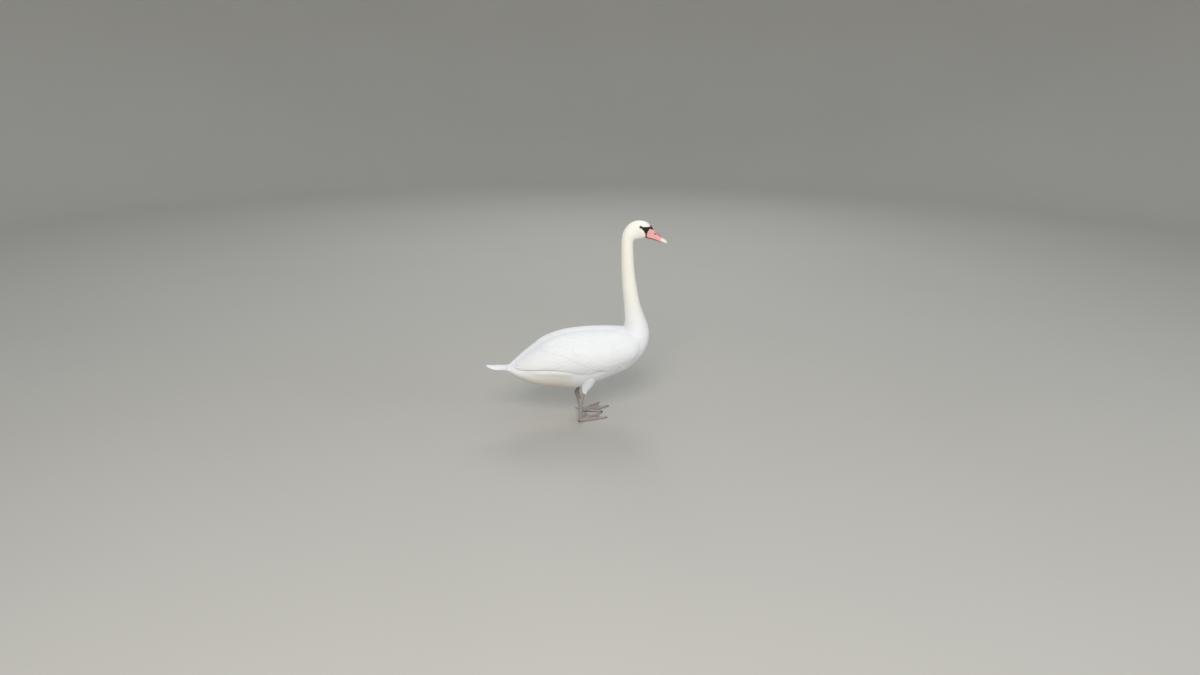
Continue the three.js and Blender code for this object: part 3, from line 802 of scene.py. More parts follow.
def small_feathers(name, surface, unwrap, roots, length, half, drop, rng, raised=0.0, slant=0.0):
    """Contour feathers at roots. Each lies drop under the surface at its root, comes up to it as 1 - (1 -
    share) ** 1.7, and dips at its tip as share ** 8. Sizes vary a little from feather to feather."""
    count = len(roots)
    length = length * rng.uniform(0.86, 1.14, count)
    half = half * rng.uniform(0.88, 1.12, count)
    heading = np.radians(rng.normal(0, 7, count)) + slant
    track = walk(surface, roots, heading, length, SMALL_SHARES)
    top = raised + rng.normal(0, 0.03, count) * drop
    lift = top[:, None] - drop[:, None] * (1 - SMALL_SHARES) ** 1.7 - TIP_DIP * MM * SMALL_SHARES**8
    outline = half[:, None] * SMALL_OUTLINE
    return feathers(name, surface, unwrap, track, outline, lift, SMALL_COLUMNS, rng, camber=half * 0.09)


def dense(rows):
    """The smooth curve through the rows at many places."""
    return smooth_rows(rows, np.linspace(0, len(rows) - 1, 200))


BROW_DENSE, CHEEK_DENSE, HORN_DENSE = dense(BROW), dense(CHEEK), dense(HORN)


def bare_skin(points):
    """Signed distances in metres, positive inside: the black skin of the face, the pink horn at the
    bill's base, and the place of the eye. points are in the frame. A distance across a slanting edge is
    0.8 of the one along X."""
    x, z = np.moveaxis(to_table(points), -1, 0)[::2]
    brow = np.interp(x, BROW_DENSE[:, 0], BROW_DENSE[:, 1])
    cheek, horn = (np.interp(z, edge[:, 0], edge[:, 1]) for edge in (CHEEK_DENSE, HORN_DENSE))
    bare = np.minimum(brow - z, (x - cheek) * 0.8)
    eye = EYE["radius"] - np.hypot(x - EYE["at"][0], z - EYE["at"][2])
    return bare * MM, (x - horn) * 0.8 * MM, eye * MM


def round_unwrap(low, high, size=0.96):
    """Places on the bake map round a surface from p = low to high: the angle across it and p up it, over
    size."""

    def unwrap(p, q):
        """The place for p and q."""
        return np.stack([0.5 + wrapped(q) / (2.04 * np.pi), 0.02 + size * (p - low) / (high - low)], -1)

    return unwrap


COAT_LENGTHS = {  # ring numbers where the pieces of the coat part
    "feathers_head": (17.3, LAST_RING),
    "feathers_upper_neck": (14.5, 17.3),
    "feathers_lower_neck": (11.4, 14.5),
    "feathers_breast": (7.5, 11.4),
    "feathers_trunk": (-0.75, 7.5),
}
HEAD_RING = 20  # the face and the eye are looked for ahead of it
# Where quills cover the body: rings, then shares of the wing, which start later on the rings in narrow.
WING_COVER = {"rings": (0.8, 8.2), "narrow": (1.2, 2.8), "from": (0.3, 0.06), "to": 0.86}
TAIL_COVER = (0.35, 1.7)  # ring and angle within which the tail's fan lies
EDGE_FADE = 7 * MM  # distance from bare skin within which feathers are smaller
BARE_EDGE = 0.3 * MM  # how far over the bare skin's edge feathers still root
TIP_GAP = 0.2 * MM  # distance that tips keep from the eyeball's edge
SHORTEST = 1.0 * MM  # length that a feather beside the eye keeps
LID_GAP = {"ahead": -1.2, "behind": -0.2, "from": 2.0}  # how near the eyeball's edge roots come, millimetres


def coat_size(ring, column):
    """A size of the body plumage at a ring number, in millimetres."""
    return np.interp(ring, COAT[:, 0], COAT[:, column])


def body_feathers(settings, material):
    """Contour feathers of head, neck and trunk, left out where wings, bare skin, eyes and tail lie. They
    are smaller along the edge of the bare skin, and end short of the eyes."""
    rng = np.random.default_rng(settings.seed)
    for name, (low, high) in COAT_LENGTHS.items():
        surface = face_surface if high == LAST_RING else coat_surface
        roots = scatter(surface, high, low, lambda p: coat_size(p, 1), rng, settings.density)
        ring, angle = roots[:, 0], wrapped(roots[:, 1])
        share, _, _ = wing_place(ring, angle)
        upper = np.interp(ring, WING_COVER["narrow"], WING_COVER["from"])
        winged = (share > upper) & (share < WING_COVER["to"])
        winged &= (ring > WING_COVER["rings"][0]) & (ring < WING_COVER["rings"][1])
        on_tail = (ring < TAIL_COVER[0]) & (np.abs(angle) < TAIL_COVER[1])
        at = surface(*roots.T, 0.0)
        bare, _, eye = bare_skin(at)
        headed = ring > HEAD_RING
        ahead = to_table(at)[:, 0] > EYE["at"][0] + LID_GAP["from"]
        bald = (bare > BARE_EDGE) | (eye > np.where(ahead, LID_GAP["ahead"], LID_GAP["behind"]) * MM)
        kept = ~winged & ~on_tail & ~(headed & bald)
        roots, at, bare, eye, headed = (value[kept] for value in (roots, at, bare, eye, headed))
        length, half, drop = (coat_size(roots[:, 0], k) * MM for k in (2, 3, 4))
        edge = np.where(headed, np.clip(0.5 - np.maximum(bare, eye) / EDGE_FADE, 0.5, 1), 1)
        along, _ = slopes(surface, *roots.T)
        _, _, eye_at_tip = bare_skin(at - unit(along) * length[:, None])
        reach = np.where(headed & (eye_at_tip > -TIP_GAP), np.maximum(-eye - TIP_GAP, SHORTEST), length)
        length = np.minimum(length * edge, reach)
        half = np.minimum(half * edge, 0.5 * length)
        drop = drop + (1 - edge) * MM
        made = small_feathers(name, surface, round_unwrap(low, high), roots, length, half, drop, rng)
        place(made, "plumage", material)


def thigh_line(leg, sign):
    """Points and radii of a thigh from the hip to below its tuft, bowed forward, in table millimetres."""
    hip, tuft = np.array(leg["hip"]), np.array(leg["tuft"])
    share = np.linspace(0, 1, len(THIGH["radii"]))
    points = hip + (tuft - hip) * share[:, None]
    points[:, 0] += THIGH["bow"] * np.sin(np.pi * share)
    points = np.vstack([points, tuft + (tuft - hip) * THIGH["past"]]) * (1, sign, 1)
    return points, np.array([*THIGH["radii"], THIGH["end"]])


def thigh_size(key, step):
    """A size of the thigh's feathers at a step up it, in millimetres."""
    least, more = THIGH_COAT[key]
    return least + more * step


def thigh_feathers(settings, material):
    """Short feathers that hang down each thigh and close round the top of the shin."""
    rng = np.random.default_rng(settings.seed + 1)
    for side, sign in SIDES.items():
        points, radii = thigh_line(LEGS[side], sign)
        down = rod_surface(points, radii, THIGH["wide"])
        last = len(points) - 1

        def surface(p, q, lift):
            """The thigh, with p counted up from its lower end, so that feathers point down."""
            return down(last - p, -q, lift)

        pitch = functools.partial(thigh_size, "pitch")
        roots = scatter(surface, *THIGH_COAT["steps"], pitch, rng, settings.density)
        sizes = (thigh_size(key, roots[:, 0]) * MM for key in ("length", "half", "drop"))
        unwrap = round_unwrap(0, last, 0.95)
        made = small_feathers(f"feathers_thigh_{side}", surface, unwrap, roots, *sizes, rng)
        place(made, "plumage", material)


# ---------------------------------------------------------------- wings
def wing_runs():
    """Ring numbers along the wing and how far back from its bend they lie, in metres."""
    rings = np.linspace(WING[-1, 0], -1.2, 400)
    upper, lower, _ = wing_edges(rings)
    line = wing_surface(rings, np.radians((upper + lower) / 2), 0.0)
    return rings, np.concatenate([[0], np.cumsum(length_of(np.diff(line, axis=0)))])


WING_RINGS, WING_RUNS = wing_runs()


def wing_track(run, share, sign):
    """Places on the body of points of the wing, from their run in metres and their share."""
    ring = np.interp(run, WING_RUNS, WING_RINGS)
    upper, lower, _ = wing_edges(ring)
    return np.stack([ring, sign * np.radians(upper + (lower - upper) * share)], -1)


def spread_over(pair, count):
    """count values from the first of a pair to the second."""
    return np.linspace(pair[0], pair[1], count)


def large_outline(half, point):
    """Half width down a large feather. It grows from 0.4 at the root to the whole over the first 0.35 of
    the length as a power of 0.7, and closes at the tip as a power of what is left of the length. A higher
    point makes a slimmer tip: it closes over 0.16 + 0.1 point of the length with a power of 0.42 + 0.2
    point."""
    s, half, point = LARGE_SHARES[None], half[:, None], point[:, None]
    opening = 0.4 + 0.6 * ramped(s, 0, 0.35) ** 0.7
    closing = np.clip((1 - s) / (0.16 + 0.1 * point), 0, 1) ** (0.42 + 0.2 * point)
    return half * np.maximum(opening * closing, 0.05)


def large_feathers(name, surface, unwrap, track, half, lift, tilt, point, drop, rng):
    """Quills: longer feathers with a shaft, whose roots lie drop under their tips, with uneven edges."""
    count = len(half)
    outline = large_outline(half, point) * rng.uniform(0.97, 1.03, (count, len(LARGE_SHARES)))
    waver = rng.normal(0, VANE["waver"] * MM, (count, 1))
    height = lift[:, None] + waver - drop[:, None] * (1 - LARGE_SHARES) ** 1.4
    return feathers(
        name, surface, unwrap, track, outline, height, LARGE_COLUMNS, rng,
        tilt=tilt, camber=half * 0.05, thick=VANE["thick"] * MM, ridge=VANE["shaft"] * MM,
    )


def group_arrays(group, rng):
    """The feathers of a wing group: their runs and shares row by row, and each one's half width, height,
    tilt, point and how far its root lies under its tip."""
    count = group["count"]
    tip_run = spread_over(group["run"], count) + rng.normal(0, 2.0, count)
    length = spread_over(group["length"], count) * rng.uniform(0.97, 1.03, count)
    tip_share = spread_over(group["share"], count) + rng.normal(0, 0.006, count)
    run = (tip_run[:, None] - length[:, None] * (1 - LARGE_SHARES)) * MM
    share = tip_share[:, None] - spread_over(group["slant"], count)[:, None] * (1 - LARGE_SHARES**1.25)
    half, lift = (spread_over(group[key], count) * MM for key in ("half", "lift"))
    same = (group["tilt"] * MM, group["point"], GROUP_DROP * MM)
    return run, share, half, lift, *(np.full(count, value) for value in same)


def scapular_arrays(rng):
    """The same for the scapulars: staggered rows along the top of the wing, longer towards the rear."""
    rows, places = SCAPULARS["rows"], SCAPULARS["places"]
    i, j = (a.ravel() for a in np.meshgrid(np.arange(rows), np.arange(places), indexing="ij"))
    f = (j + 0.5 * (i % 2)) / places
    down = i / rows
    stray = rng.normal(0, 3, f.shape)
    tip_run = np.interp(f, (0, 1), SCAPULARS["run"]) + stray - SCAPULARS["ahead"] * down
    length = np.interp(f, (0, 1), SCAPULARS["length"]) * rng.uniform(0.92, 1.08, f.shape)
    tip_share = np.interp(i / (rows - 1), (0, 1), SCAPULARS["share"]) + rng.normal(0, 0.012, f.shape)
    run = np.maximum((tip_run[:, None] - length[:, None] * (1 - LARGE_SHARES)) * MM, 2 * MM)
    share = tip_share[:, None] - SCAPULARS["slant"] * (1 - LARGE_SHARES**1.2)
    half = np.interp(f, (0, 1), SCAPULARS["half"]) * MM
    lift = (SCAPULARS["lift"][0] + SCAPULARS["lift"][1] * (1 - down)) * MM
    same = (SCAPULARS["tilt"] * MM, SCAPULARS["point"], SCAPULARS["drop"] * MM)
    return run, share, half, lift, *(np.full(f.shape, value) for value in same)


def wing_unwrap(p, q):
    """Places on the bake map of the wing's skin: its share across and its ring number up."""
    share, _, _ = wing_place(p, q)
    return np.stack([0.1 + 0.8 * np.clip(share, -0.1, 1.1), 0.05 + 0.09 * (p + 1)], -1)


def wing_feathers(settings, material, quill_material):
    """Each folded wing: quills and large coverts by group, scapulars over them, and rows of small coverts
    ahead."""
    rng = np.random.default_rng(settings.seed + 2)
    for side, sign in SIDES.items():
        arrays = [group_arrays(group, rng) for group in WING_GROUPS.values()] + [scapular_arrays(rng)]
        run, share, half, lift, tilt, point, drop = (np.concatenate(values) for values in zip(*arrays))
        track = wing_track(run, share, sign)
        name = f"wing_quills_{side}"
        made = large_feathers(
            name, wing_surface, wing_unwrap, track, half, lift, sign * tilt, point, drop, rng
        )
        place(made, "plumage", quill_material, f"wing_{side}")
        small_coverts(side, sign, settings, material, rng)


def lesser_pitch(ring):
    """Distance between small coverts at a ring number, in millimetres."""
    return np.interp(ring, (3, 9), LESSER["pitch"][::-1])


def small_coverts(side, sign, settings, material, rng):
    """Rows of small coverts over the front of a wing, larger towards the rear."""
    angles = sorted((sign * 0.05, sign * np.pi * 0.68))
    roots = scatter(coat_surface, 9.0, 1.5, lesser_pitch, rng, settings.density, angles)
    share, _, _ = wing_place(roots[:, 0], roots[:, 1])
    back = np.interp(-roots[:, 0], -WING_RINGS, WING_RUNS) / MM
    reach = np.interp(share, (0, 1), LESSER_REACH[::-1])
    kept = (share > -0.02) & (share < 1.0) & (back < reach) & (roots[:, 0] < 8.95)
    sizes = (np.interp(back[kept], (0, 300), LESSER[key]) * MM for key in ("length", "half", "drop"))
    name = f"wing_coverts_{side}"
    roots, slant = roots[kept], sign * 0.2
    made = small_feathers(name, wing_surface, wing_unwrap, roots, *sizes, rng, raised=-0.2 * MM, slant=slant)
    place(made, "plumage", material)


# ---------------------------------------------------------------- tail
TAIL_REACH = math.hypot(TAIL["tip"][0] - TAIL["root"][0], TAIL["tip"][1] - TAIL["root"][1])


def fan_unwrap(p, q):
    """Places on the bake map of the tail: the angle across it and the run up it."""
    return np.stack([0.5 + q / 60, 0.1 + p / 250], -1)


def fan_feathers(name, count, reach, half, lift, rng, material):
    """One row of feathers on the fan: the middle ones longest and on top, each outer one a little lower."""
    share = np.linspace(-1, 1, count)
    length = reach - TAIL["shorter"] * share**2 * (reach / TAIL_REACH) ** 2
    length = length * rng.uniform(0.985, 1.0, count)
    run = TAIL["start"] + (length[:, None] - TAIL["start"]) * LARGE_SHARES
    angle = TAIL["spread"] * share[:, None] * (0.3 + 0.7 * ramped(run, 0, TAIL["opens"]))
    made = large_feathers(
        name,
        fan_surface,
        fan_unwrap,
        np.stack([run, angle], -1),
        half * MM * (1 - 0.35 * np.abs(share)),
        (lift - 2.4 * np.abs(share)) * MM,
        -np.sign(share) * 0.5 * MM,
        np.full(count, 0.9),
        np.full(count, 1.5 * MM),
        rng,
    )
    place(made, "plumage", material, "tail")


def tail_feathers(settings, material):
    """The tail: a fan of long feathers, and rows of shorter coverts over its root."""
    rng = np.random.default_rng(settings.seed + 3)
    fan_feathers("tail_feathers", TAIL["feathers"], TAIL_REACH, TAIL["half"], 1.2, rng, material)
    for row, (reach, lift) in enumerate(TAIL["coverts"]):
        fan_feathers(f"tail_coverts_{row + 1}", 10 - row % 2, reach, TAIL["half"] - 2, lift, rng, material)


# ---------------------------------------------------------------- skin
SKIN_SIDES = 200
SKIN_SPANS = ((0, 11, 150), (11, 17.3, 110), (17.3, LAST_RING, 150))  # first and last ring, and rows
SKIN_RISES = (23.2, 23.8)  # rings over which all of it comes up to the root of the bill
SOCKET = {"deep": 1.5, "margin": 2.0, "from": 19}  # of the eye: millimetres, then its first ring
GAPE = 125  # degrees from the back line down to the corner of the mouth
BILL_HEART = np.array([345.0, 0, 868])  # a point inside the bill's root
BILL_FROM = 22.9  # ring from which the face turns into the bill's root
BARE_DEPTH = 0.35  # how deep bare skin lies
FACE_FROM = 830  # height above which the skin can be bare


def skin_depth(ring):
    """How deep the skin lies under the outside of the plumage, in millimetres: the feathers' drop and a
    little."""
    return coat_size(ring, 4) * 1.15 + 0.3


def bill_section(t, a):
    """The upper bill in table millimetres: an arch over the mouth line at station t, a turning from its
    left foot over the top to its right foot. Its height and its lean forward follow sin(a) ** 0.8."""
    top_x, top_z, mouth_x, mouth_z, half, _ = np.moveaxis(smooth_rows(BILL, t), -1, 0)
    rise = np.clip(np.sin(a), 0, 1) ** 0.8
    across = half * np.cos(a) * (1 - 0.12 * rise)
    return np.stack([mouth_x + (top_x - mouth_x) * rise, across, mouth_z + (top_z - mouth_z) * rise], -1)


def face_surface(ring, angle, lift):
    """The surface of the body in metres, which turns into the root of the bill between BILL_FROM and the
    last ring. There it takes the bill's own arch, carried on backwards, whose feet lie GAPE degrees from
    the back line."""
    points = coat_surface(ring, angle, lift)
    from_top = np.abs(wrapped(angle))
    gape = math.radians(GAPE)
    station = np.broadcast_to(ring, from_top.shape) - LAST_RING
    arch = bill_section(station, np.pi / 2 * (1 - ramped(from_top, 0, gape)))
    arch[..., 1] *= np.where(wrapped(angle) < 0, -1, 1) * (1 - ramped(from_top, gape, np.pi))
    arch = arch + unit(arch - BILL_HEART) * np.asarray(lift)[..., None] / MM
    blend = ramped(np.asarray(ring), BILL_FROM, LAST_RING)[..., None]
    return points + (to_frame(arch) - points) * eased(blend)


def skin_arrays():
    """The skin of head, neck, trunk and wings as one grid under the plumage. Where the face is bare it
    lies at the surface, and at the bill it takes the bill's own section. It sinks into the eyes' sockets.
    Under the wings it lies as deep as the wing's own flesh."""
    rings = np.concatenate([np.linspace(*span)[int(span[0] > 0) :] for span in SKIN_SPANS])
    angles = np.linspace(-np.pi, np.pi, SKIN_SIDES, endpoint=False)
    ring, angle = np.meshgrid(rings, angles, indexing="ij")
    flat = body_surface(ring, angle, 0.0)
    bare, _, eye = bare_skin(to_frame(flat))
    covered = np.clip(0.5 - bare / (1.5 * MM), 0, 1) * (1 - ramped(ring, *SKIN_RISES))
    depth = BARE_DEPTH + (skin_depth(ring) - BARE_DEPTH) * covered
    socket = SOCKET["deep"] * np.clip(1 + eye / (SOCKET["margin"] * MM), 0, 1) * (ring > SOCKET["from"])
    share, _, _ = wing_place(ring, angle)
    within = (share > 0) & (share < 1) & (ring > WING[0, 0]) & (ring < WING[-1, 0])
    flesh = np.where(within, np.maximum(wing_swell(ring, angle, True) - WING_EDGE - WING_CLEARANCE, 0), 0)
    return face_surface(ring, angle, (flesh - wing_swell(ring, angle, False) - depth - socket) * MM)


def skin(material):
    """One skin for all the flesh, with the thighs on it."""
    parts = [loft(skin_arrays())]
    for side, sign in SIDES.items():
        points, radii = thigh_line(LEGS[side], sign)
        radii = radii - THIGH["skin"] * np.clip(radii / 25, 0.3, 1)
        parts.append(tube(points, radii, THIGH["wide"], sides=40))
    points, faces = joined(parts)
    bare, _, _ = bare_skin(points)
    facing = np.where(points[:, 2] > FACE_FROM * MM, bare, -1.0)
    made = make_object("skin", points, faces, fields={"bare": facing / MM})
    nodes = ("trunk", "neck_lower", "neck_middle", "neck_upper", "head", "thigh_right", "thigh_left")
    place(made, "plumage", material, *nodes)


# ---------------------------------------------------------------- eyes
def eye_surface(sign, radius, polar, turn):
    """Points of the eyeball in metres: polar 0 looks out of the head, a little up and forward, and turn
    goes round that line. The ball is flattened across the head."""
    out = np.cos(polar)
    x = np.sin(polar) * np.cos(turn)
    z = np.sin(polar) * np.sin(turn)
    up, ahead = np.radians(EYE["up"]), np.radians(EYE["ahead"])
    out, z = out * np.cos(up) - z * np.sin(up), out * np.sin(up) + z * np.cos(up)
    out, x = out * np.cos(ahead) - x * np.sin(ahead), out * np.sin(ahead) + x * np.cos(ahead)
    shape = np.broadcast_arrays(radius * x, sign * radius * EYE["flat"] * out, radius * z)
    return to_frame(np.stack(shape, -1) + np.array(EYE["at"]) * (1, sign, 1))


def eyes(eye_material, lid_material):
    """Smooth eyeballs, and lids that hug them in an almond shape, each a ring closed on itself."""
    turns = circle(64)
    polar = np.linspace(0.02, np.pi - 0.02, 48)
    for side, sign in SIDES.items():
        points, faces = loft(eye_surface(sign, EYE["radius"], polar[:, None], -sign * turns))
        out = np.concatenate([np.repeat(polar, len(turns)), [0, np.pi]])
        made = make_object(f"eyeball_{side}", points, faces, fields={"polar": out})
        place(made, "eye", eye_material, f"eye_{side}")
        lid = eye_surface(sign, *lid_section(turns), sign * turns[:, None])
        first = np.arange(lid.shape[1])
        last = (len(turns) - 1) * lid.shape[1] + first
        wrap = np.stack([last, first, np.roll(first, -1), np.roll(last, -1)], -1)
        made = make_object(f"eyelids_{side}", lid.reshape(-1, 3), [loft(lid)[1][0], wrap])
        place(made, "black_skin", lid_material)


def lid_section(turns):
    """Radius and polar angle round a section of the lids for each turn about the eye. The opening is
    an almond, its corners ahead and behind, with a swollen lip that thins into the socket, and fine
    creases."""
    opening = np.radians(LID["open"] + LID["corner"] * np.abs(np.cos(turns[:, None])) ** 2.5)
    out = np.linspace(0, 1, 16)[None]
    swollen = LID["lip"] * np.exp(-(((out - 0.13) / 0.12) ** 2)) + LID["lip"] * (1 - out) ** 0.5
    creases = LID["crease"] * np.cos(out * 30)
    top = EYE["radius"] + LID["clear"] + (swollen + creases) * np.minimum(1, out * 9 + 0.2)
    polar = opening + (np.radians(LID["edge"]) - opening) * out
    under = np.full_like(top, EYE["radius"] - LID["inside"])
    return np.concatenate([top, under[:, ::-1]], 1), np.concatenate([polar, polar[:, ::-1]], 1)


# ---------------------------------------------------------------- bill
def nostril_dent(points):
    """How far points of the upper bill lie in the nostril, from 0 to 1: a slanting oval bell with steep
    sides."""
    x, z = points[..., 0] - NOSTRIL["at"][0], points[..., 2] - NOSTRIL["at"][1]
    slope = math.radians(NOSTRIL["slope"])
    long = (x * math.cos(slope) + z * math.sin(slope)) / NOSTRIL["radii"][0]
    short = (z * math.cos(slope) - x * math.sin(slope)) / NOSTRIL["radii"][1]
    return np.exp(-((long**2 + short**2) ** 2)) * (np.abs(points[..., 1]) > NOSTRIL["beside"])


def beak_surface(place_along, a, lift):
    """The outside of the upper bill in table millimetres. From 0 on, place_along counts the bill's
    stations. Below 0 it counts rings back from the bill's root over the face. a turns from the left foot
    of the arch over the top to the right one, and lift grows it away from the bill's heart."""
    place_along, a, lift = np.broadcast_arrays(place_along, a, lift)
    angle = (np.pi / 2 - a) * math.radians(GAPE) / (np.pi / 2)
    on_face = face_surface(LAST_RING + np.minimum(place_along, 0), angle, lift * MM)
    on_face = on_face / MM - (SHIFT / MM, 0, 0)
    station = np.maximum(place_along, 0)
    on_bill = bill_section(station, a)
    top_x, top_z, mouth_x, mouth_z, _, _ = np.moveaxis(smooth_rows(BILL, station), -1, 0)
    heart = np.stack([(top_x + mouth_x) / 2, 0 * top_x, (top_z + 2 * mouth_z) / 3], -1)
    on_bill = on_bill + unit(on_bill - heart) * lift[..., None]
    return np.where(place_along[..., None] < 0, on_face, on_bill)


def bill_map(around, along):
    """The UV map BillMap of a lofted half of the bill: around goes across the map, and along goes up it."""
    grid = np.stack(np.broadcast_arrays(around, along), -1).reshape(-1, 2)
    return {"BillMap": np.concatenate([grid, [(0.5, 0), (0.5, 1)]])}


def upper_bill(material):
    """The upper bill: arches along its stations closed by a hollow palate, with a rounded tip. Its horn
    reaches back over the face, where it rises out of the skin along the horn's edge, inside a black
    margin. The field hole is 1 in the nostrils and on that margin."""
    arch, floor = 120, 16
    last = len(BILL) - 1
    t = np.concatenate([np.linspace(HORN_BACK, -0.02, 90), np.linspace(0, last, 150)])[:, None]
    a = np.linspace(0, np.pi, arch)
    bare, horn, _ = bare_skin(to_frame(beak_surface(t, a, 0.0)))
    shown = eased(np.clip(np.minimum(bare, horn) / MM / (2 * HORN_MARGIN) + 0.5, 0, 1))
    lift = (HORN_PROUD * ramped(-t, 0, 0.3) + HORN_SUNK) * shown - HORN_SUNK
    over = beak_surface(t, a, np.where(t < 0, lift, 0))
    near_mouth = np.exp(-((np.minimum(a, np.pi - a) / LAMELLA["wide"]) ** 2)) * np.clip(t, 0, 1)
    lamellae = LAMELLA["high"] * np.sin(t * LAMELLA["per_station"] * 2 * np.pi) * near_mouth
    over[..., 1] += np.sign(over[..., 1]) * lamellae
    dent = nostril_dent(over)
    margin = (t < 0) * np.clip(2 * HORN_MARGIN - horn / (HORN_MARGIN * MM), 0, 1)
    over[..., 1] -= np.sign(over[..., 1]) * dent * NOSTRIL["deep"]
    across = np.linspace(0, 1, floor + 2)[1:-1]
    under = over[:, -1:] + (over[:, :1] - over[:, -1:]) * across[:, None]
    under[..., 2] += PALATE * np.sin(np.pi * across)
    rings = np.concatenate([over, under], 1)
    swing = np.linspace(0, np.pi / 2, 8)[1:-1, None, None]
    centre = rings[-1].mean(0)
    dome = centre + (rings[-1] - centre) * np.cos(swing) + np.array(TIP_REACH) * np.sin(swing)
    rings = np.concatenate([rings, dome])
    points, faces = loft(to_frame(rings[:, ::-1]))
    along = np.concatenate([t[:, 0], np.full(len(dome), last)]) / last
    around = np.concatenate([a / np.pi, 1 - across])[::-1]
    hole = np.zeros(rings.shape[:2])
    hole[: len(t), :arch] = np.maximum(dent, margin)
    hole = np.concatenate([hole[:, ::-1].ravel(), [0, 0]])
    maps = bill_map(around, along[:, None])
    made = make_object("upper_bill", points, faces, maps, {"hole": hole})
    place(made, "bill_horn", material, "bill_upper")


def lower_bill(material):
    """The lower bill: shallow arches that hang under the mouth line, and taper to nothing at their root."""
    t = np.linspace(*LOWER_BILL["stations"], 110)[:, None]
    a = np.linspace(0, np.pi, 40)
    _, _, mouth_x, mouth_z, half, below = np.moveaxis(smooth_rows(BILL, t * np.ones(len(a))), -1, 0)
    opened = np.clip((t - LOWER_BILL["stations"][0]) / LOWER_BILL["opens"], 0.02, 1)
    hang = np.sin(a) ** 0.7 * np.sin(opened * np.pi / 2)
    across = half * LOWER_BILL["wide"] * np.cos(a) * (1 - 0.1 * hang)
    gap = LOWER_BILL["gap"]
    points, faces = loft(to_frame(np.stack([mouth_x + gap, across, mouth_z - gap - below * hang], -1)))
    made = make_object("lower_bill", points, faces, bill_map(a / np.pi, t / (len(BILL) - 1)), sharp=70)
    place(made, "bill_horn", material, "bill_lower")


def knob(material):
    """The knob at the bill's base: a low mound over forehead and bill, high as a bell curve of the
    distance from its middle, with shallow wrinkles, closed underneath."""
    r = np.linspace(0.02, 1, 30)[:, None]
    turn = circle(72)
    along = r * np.cos(turn)
    along = np.where(along < 0, KNOB["back"] * along, KNOB["ahead"] * along)
    a = np.pi / 2 + KNOB["wide"] * r * np.sin(turn)
    wrinkle = KNOB["wrinkle"] * np.sin(turn * 5 + r * 9) * r * (1 - r) * 4
    high = KNOB["high"] * np.exp(-((r / 0.6) ** 2.4)) - KNOB["rim"] * r**4 + KNOB["off"] + wrinkle
    inner = beak_surface(along, a, -KNOB["sunk"])[-1:]
    points, faces = loft(to_frame(np.concatenate([beak_surface(along, a, high), inner])))
    place(make_object("knob", points, faces), "black_skin", material, "bill_knob")


def nail(material):
    """The nail: a shield on the tip of the upper bill that stands off it as 1 - r ** 4 from its middle
    outwards."""
    r = np.linspace(0.02, 1, 26)[:, None]
    turn = circle(60)
    t = np.minimum(NAIL["at"] + NAIL["half"] * r * np.cos(turn), len(BILL) - 1)
    base = bill_section(t, np.pi / 2 + NAIL["wide"] * r * np.sin(turn))
    out = unit(base - np.array(NAIL["heart"]))
    rings = base + out * (NAIL["high"] * (1 - r**4) - NAIL["sunk"])[..., None]
    points, faces = loft(to_frame(np.concatenate([rings, base[-1:] - out[-1:] * NAIL["core"]])))
    place(make_object("nail", points, faces), "nail_horn", material, "bill_nail")


# ---------------------------------------------------------------- legs
def toe_way(toe, leg, sign):
    """The direction in which a toe points over the floor."""
    turn = math.radians(leg["turn"] + toe["angle"])
    return np.array([math.cos(turn), sign * math.sin(turn)])


def toe_line(toe, leg, sign):
    """Points and radii of a toe from the heel joint along the ground, swelling at every other joint."""
    t = np.linspace(0, 1, 5)
    radius = toe["root"] + (toe["tip"] - toe["root"]) * t + np.where(np.arange(5) % 2, -KNUCKLE, KNUCKLE)
    heel = np.array(leg["heel"], float)
    x, y = heel[:2, None] * [[1], [sign]] + toe["length"] * t * toe_way(toe, leg, sign)[:, None]
    z = np.maximum(radius * SOLE, (heel[2] - radius) * (1 - 4 * t)) + toe["lift"] * t
    return np.stack([x, y, z], -1), radius


def web_part(first, second):
    """The web between two toes: straight lines from one to the other, ending in a hollow front edge that
    draws back by the sine of the way across, as a plate with a rounded, slightly wavy thickness."""
    along = np.linspace(0.02, WEB["reach"], 40)[:, None] * 4
    across = np.linspace(0, 1, 33)
    bow = np.sin(np.pi * across)
    near, far = (smooth_rows(points, along * (1 - WEB["hollow"] * bow)) for points, _ in (first, second))
    low = near + (far - near) * across[:, None]
    low[..., 2] = WEB["lift"]
    high = low.copy()
    high[..., 2] += WEB["thick"] + WEB["wave"] * np.sin(across * 34 + along * 1.3) * bow
    return loft(to_frame(np.concatenate([low, high[:, ::-1]], 1)))


def scale_groove(run, pitch):
    """1 in the middle of the groove between two scales, falling off as a bell curve: one groove to each
    pitch."""
    return np.exp(-((((run / pitch) % 1) - 0.5) / SCALE_GROOVE) ** 2)


